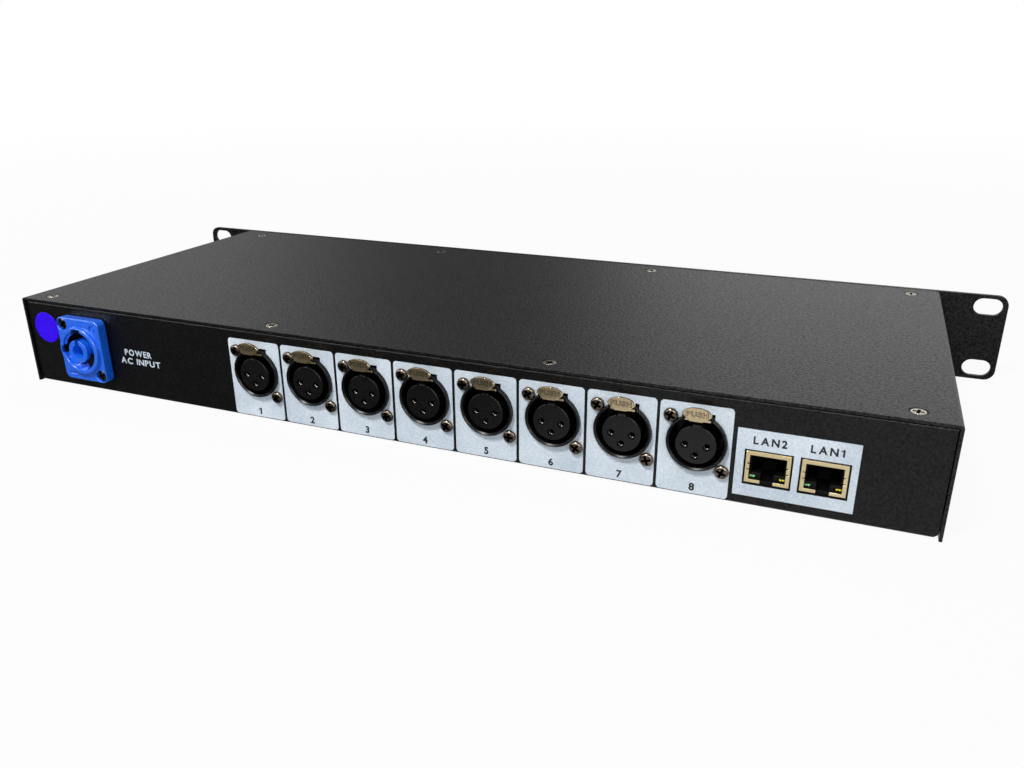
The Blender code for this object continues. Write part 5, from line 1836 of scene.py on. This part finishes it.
@dataclass
class Studio:
    """Camera, soft lights, white surroundings and a pale floor.

    A ramp gives two ends of a direction or a place, then the strength at each. Angles are in degrees.
    """

    camera_place: tuple[float, float, float] = (-0.1711, 0.3806, 0.1595)
    camera_right: tuple[float, float, float] = (-0.9263, -0.3768, -0.0037)
    camera_look: tuple[float, float, float] = (0.3521, -0.8618, -0.3652)
    focal: float = 30.55
    ambient: float = 0.16
    gap_turn: float = 25.0
    gap_edges: tuple[float, float] = (5.0, 16.5)
    gap_floor: float = 0.1
    left_wall: Ramp = (0.14, 0.6, 0.24, 1.4)
    right_wall: Ramp = (0.14, 0.6, 1.012, 0.748)
    room: Ramp = (-0.3, 0.3, 1.0, 0.12)
    strip_light: float = 6.5
    strip_rise: float = 31.0
    strip_half: float = 7.0
    floor_size: float = 3.0
    floor_depth: float = 0.02
    floor_colour: str = "#c4c5c6"
    floor_beside: Ramp = (0.0, -0.12, 0.13, 0.7)
    floor_behind: Ramp = (0.0, 0.09, 0.3, 1.0)
    floor_before: Ramp = (-0.1, -0.2, 0.0, 0.45)
    floor_fade: Ramp = (0.4, 1.6, 0.94, 1.0)
    lights: tuple[SoftLight, ...] = (
        SoftLight("key_above", (0.35, 1.0, 1.5), 0.35, 28.0, mirrored=True),
        SoftLight("fill_right", (-1.0, 1.3, 0.8), 0.4, 5.0, mirrored=True),
        SoftLight("front_top", (0.2, -1.0, 1.9), 1.0, 9.0),
    )

    def set_camera(self) -> None:
        """Sets the camera where the photograph was taken from."""
        data = bpy.data.cameras.new("camera")
        data.sensor_width = 36.0
        data.lens = self.focal
        data.clip_start = 0.01
        look = Vector(self.camera_look).normalized()
        right = Vector(self.camera_right)
        right = (right - right.dot(look) * look).normalized()
        host = linked("camera", data)
        host.matrix_world = Matrix.Translation(self.camera_place) @ Matrix(
            (right, right.cross(look), -look)).transposed().to_4x4()
        bpy.context.scene.camera = host

    def set_world(self) -> None:
        """Makes the surroundings white to the camera, with a dim gap between two bright walls beyond.

        The lid mirrors those walls at a low angle, and the gap is the dark band across it. Edges that look a
        little up mirror a long strip light behind the viewer, which runs along the unit.
        """
        bpy.context.scene.world = bpy.data.worlds.new("studio")
        tree = bare(bpy.context.scene.world)
        way = add(tree, "ShaderNodeTexCoord").outputs["Generated"]
        axes = add(tree, "ShaderNodeSeparateXYZ", {0: way}).outputs
        beyond = add(tree, "ShaderNodeMath", {0: axes["Y"], 1: -1.0}, operation="MULTIPLY")
        turn = add(tree, "ShaderNodeMath", {0: axes["X"], 1: beyond}, operation="ARCTAN2")
        off = add(tree, "ShaderNodeMath", {0: turn, 1: radians(self.gap_turn)}, operation="SUBTRACT")
        walls = self.gap_floor
        for side, wall in ((1, self.left_wall), (-1, self.right_wall)):
            near, far = (radians(side * edge) for edge in self.gap_edges)
            shade = add(tree, "ShaderNodeMapRange", ramp(axes["Z"], wall))
            lit = add(tree, "ShaderNodeMapRange", ramp(off, (near, far, 0.0, shade)),
                      interpolation_type="SMOOTHSTEP")
            walls = add(tree, "ShaderNodeMath", {0: lit, 1: walls}, operation="ADD")
        behind = add(tree, "ShaderNodeMapRange", ramp(axes["Y"], self.room))
        shine = add(tree, "ShaderNodeMath", {0: walls, 1: behind}, operation="MULTIPLY")
        rise = add(tree, "ShaderNodeMath", {0: axes["Z"], 1: axes["Y"]}, operation="ARCTAN2")
        strip = add(tree, "ShaderNodeMath", {
            0: rise, 1: radians(self.strip_rise), 2: radians(self.strip_half)}, operation="COMPARE")
        shine = add(tree, "ShaderNodeMath", {0: strip, 1: self.strip_light, 2: shine},
                    operation="MULTIPLY_ADD")
        rays = add(tree, "ShaderNodeLightPath").outputs
        seen = add(tree, "ShaderNodeMath", {0: rays["Is Camera Ray"], 1: rays["Is Transmission Ray"]},
                   operation="MAXIMUM")
        other = add(tree, "ShaderNodeMix", {0: rays["Is Glossy Ray"], 2: self.ambient, 3: shine})
        strength = add(tree, "ShaderNodeMix", {0: seen, 2: other, 3: 1.0})
        light = add(tree, "ShaderNodeBackground", {"Color": linear("#ffffff"), "Strength": strength})
        add(tree, "ShaderNodeOutputWorld", {"Surface": light})

    def lay_floor(self) -> None:
        """Lays the pale floor, which keeps the unit's shadow and is clear to a camera below it.

        The rear wall mirrors the floor behind the unit, less so towards its left end, and the panel mirrors
        the floor before it.
        """
        size = self.floor_size
        floor = linked("floor", Draft().box((-size, -size, -self.floor_depth), (size, size, 0)).mesh())
        paint = bpy.data.materials.new("pale_floor")
        tree = bare(paint)
        rays = add(tree, "ShaderNodeLightPath").outputs
        place = add(tree, "ShaderNodeTexCoord").outputs["Object"]
        axes = add(tree, "ShaderNodeSeparateXYZ", {0: place}).outputs
        beside = add(tree, "ShaderNodeMapRange", ramp(axes["X"], self.floor_beside),
                     interpolation_type="SMOOTHSTEP")
        behind = add(tree, "ShaderNodeMapRange", ramp(axes["Y"], self.floor_behind))
        before = add(tree, "ShaderNodeMapRange", ramp(axes["Y"], self.floor_before))
        mirrored = add(tree, "ShaderNodeMath", {0: beside, 1: behind}, operation="MULTIPLY")
        mirrored = add(tree, "ShaderNodeMath", {0: mirrored, 1: before}, operation="MAXIMUM")
        strength = add(tree, "ShaderNodeMix", {0: rays["Is Glossy Ray"], 2: 1.0, 3: mirrored})
        matt = add(tree, "ShaderNodeBsdfDiffuse", {"Color": linear(self.floor_colour)})
        glow = add(tree, "ShaderNodeEmission", {"Color": linear("#ffffff"), "Strength": strength})
        far = add(tree, "ShaderNodeVectorMath", {0: place}, operation="LENGTH").outputs["Value"]
        plain = add(tree, "ShaderNodeMapRange", ramp(far, self.floor_fade))
        share = add(tree, "ShaderNodeMath", {0: rays["Is Camera Ray"], 1: plain, 2: rays["Is Glossy Ray"]},
                    operation="MULTIPLY_ADD")
        mixed = add(tree, "ShaderNodeMixShader", {0: share, 1: matt, 2: glow})
        viewer = add(tree, "ShaderNodeNewGeometry").outputs["Incoming"]
        level = add(tree, "ShaderNodeSeparateXYZ", {0: viewer}).outputs["Z"]
        under = add(tree, "ShaderNodeMath", {0: level, 1: 0.0}, operation="LESS_THAN")
        clear = add(tree, "ShaderNodeMath", {0: under, 1: rays["Is Camera Ray"]}, operation="MULTIPLY")
        glass = add(tree, "ShaderNodeBsdfTransparent")
        mixed = add(tree, "ShaderNodeMixShader", {0: clear, 1: mixed, 2: glass})
        add(tree, "ShaderNodeOutputMaterial", {"Surface": mixed})
        floor.data.materials.append(paint)
        floor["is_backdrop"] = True

    def build(self) -> None:
        """Sets up the whole studio."""
        self.set_camera()
        self.set_world()
        self.lay_floor()
        for light in self.lights:
            light.hang()
        bpy.context.scene.view_settings.view_transform = "Standard"


def corners() -> list[list[float]]:
    """The box of everything that shows, as plain lists."""
    return [[float(value) for value in corner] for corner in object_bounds()]


def main() -> None:
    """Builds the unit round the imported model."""
    logging.basicConfig(level=logging.INFO, format="%(message)s")
    for old in list(bpy.data.objects):
        bpy.data.objects.remove(old)
    frame = Frame(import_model()["nodes"])
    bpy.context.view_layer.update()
    recipe = scatter_recipe()
    for assembly in (Enclosure(frame, recipe), XlrRow(frame, recipe), RearPrint(frame), NetworkJacks(frame),
                     MainsInlet(frame, recipe), FrontControls(frame), Insides(frame), Studio()):
        LOG.info("%s", type(assembly).__name__)
        assembly.build()


if __name__ == "__main__":
    main()
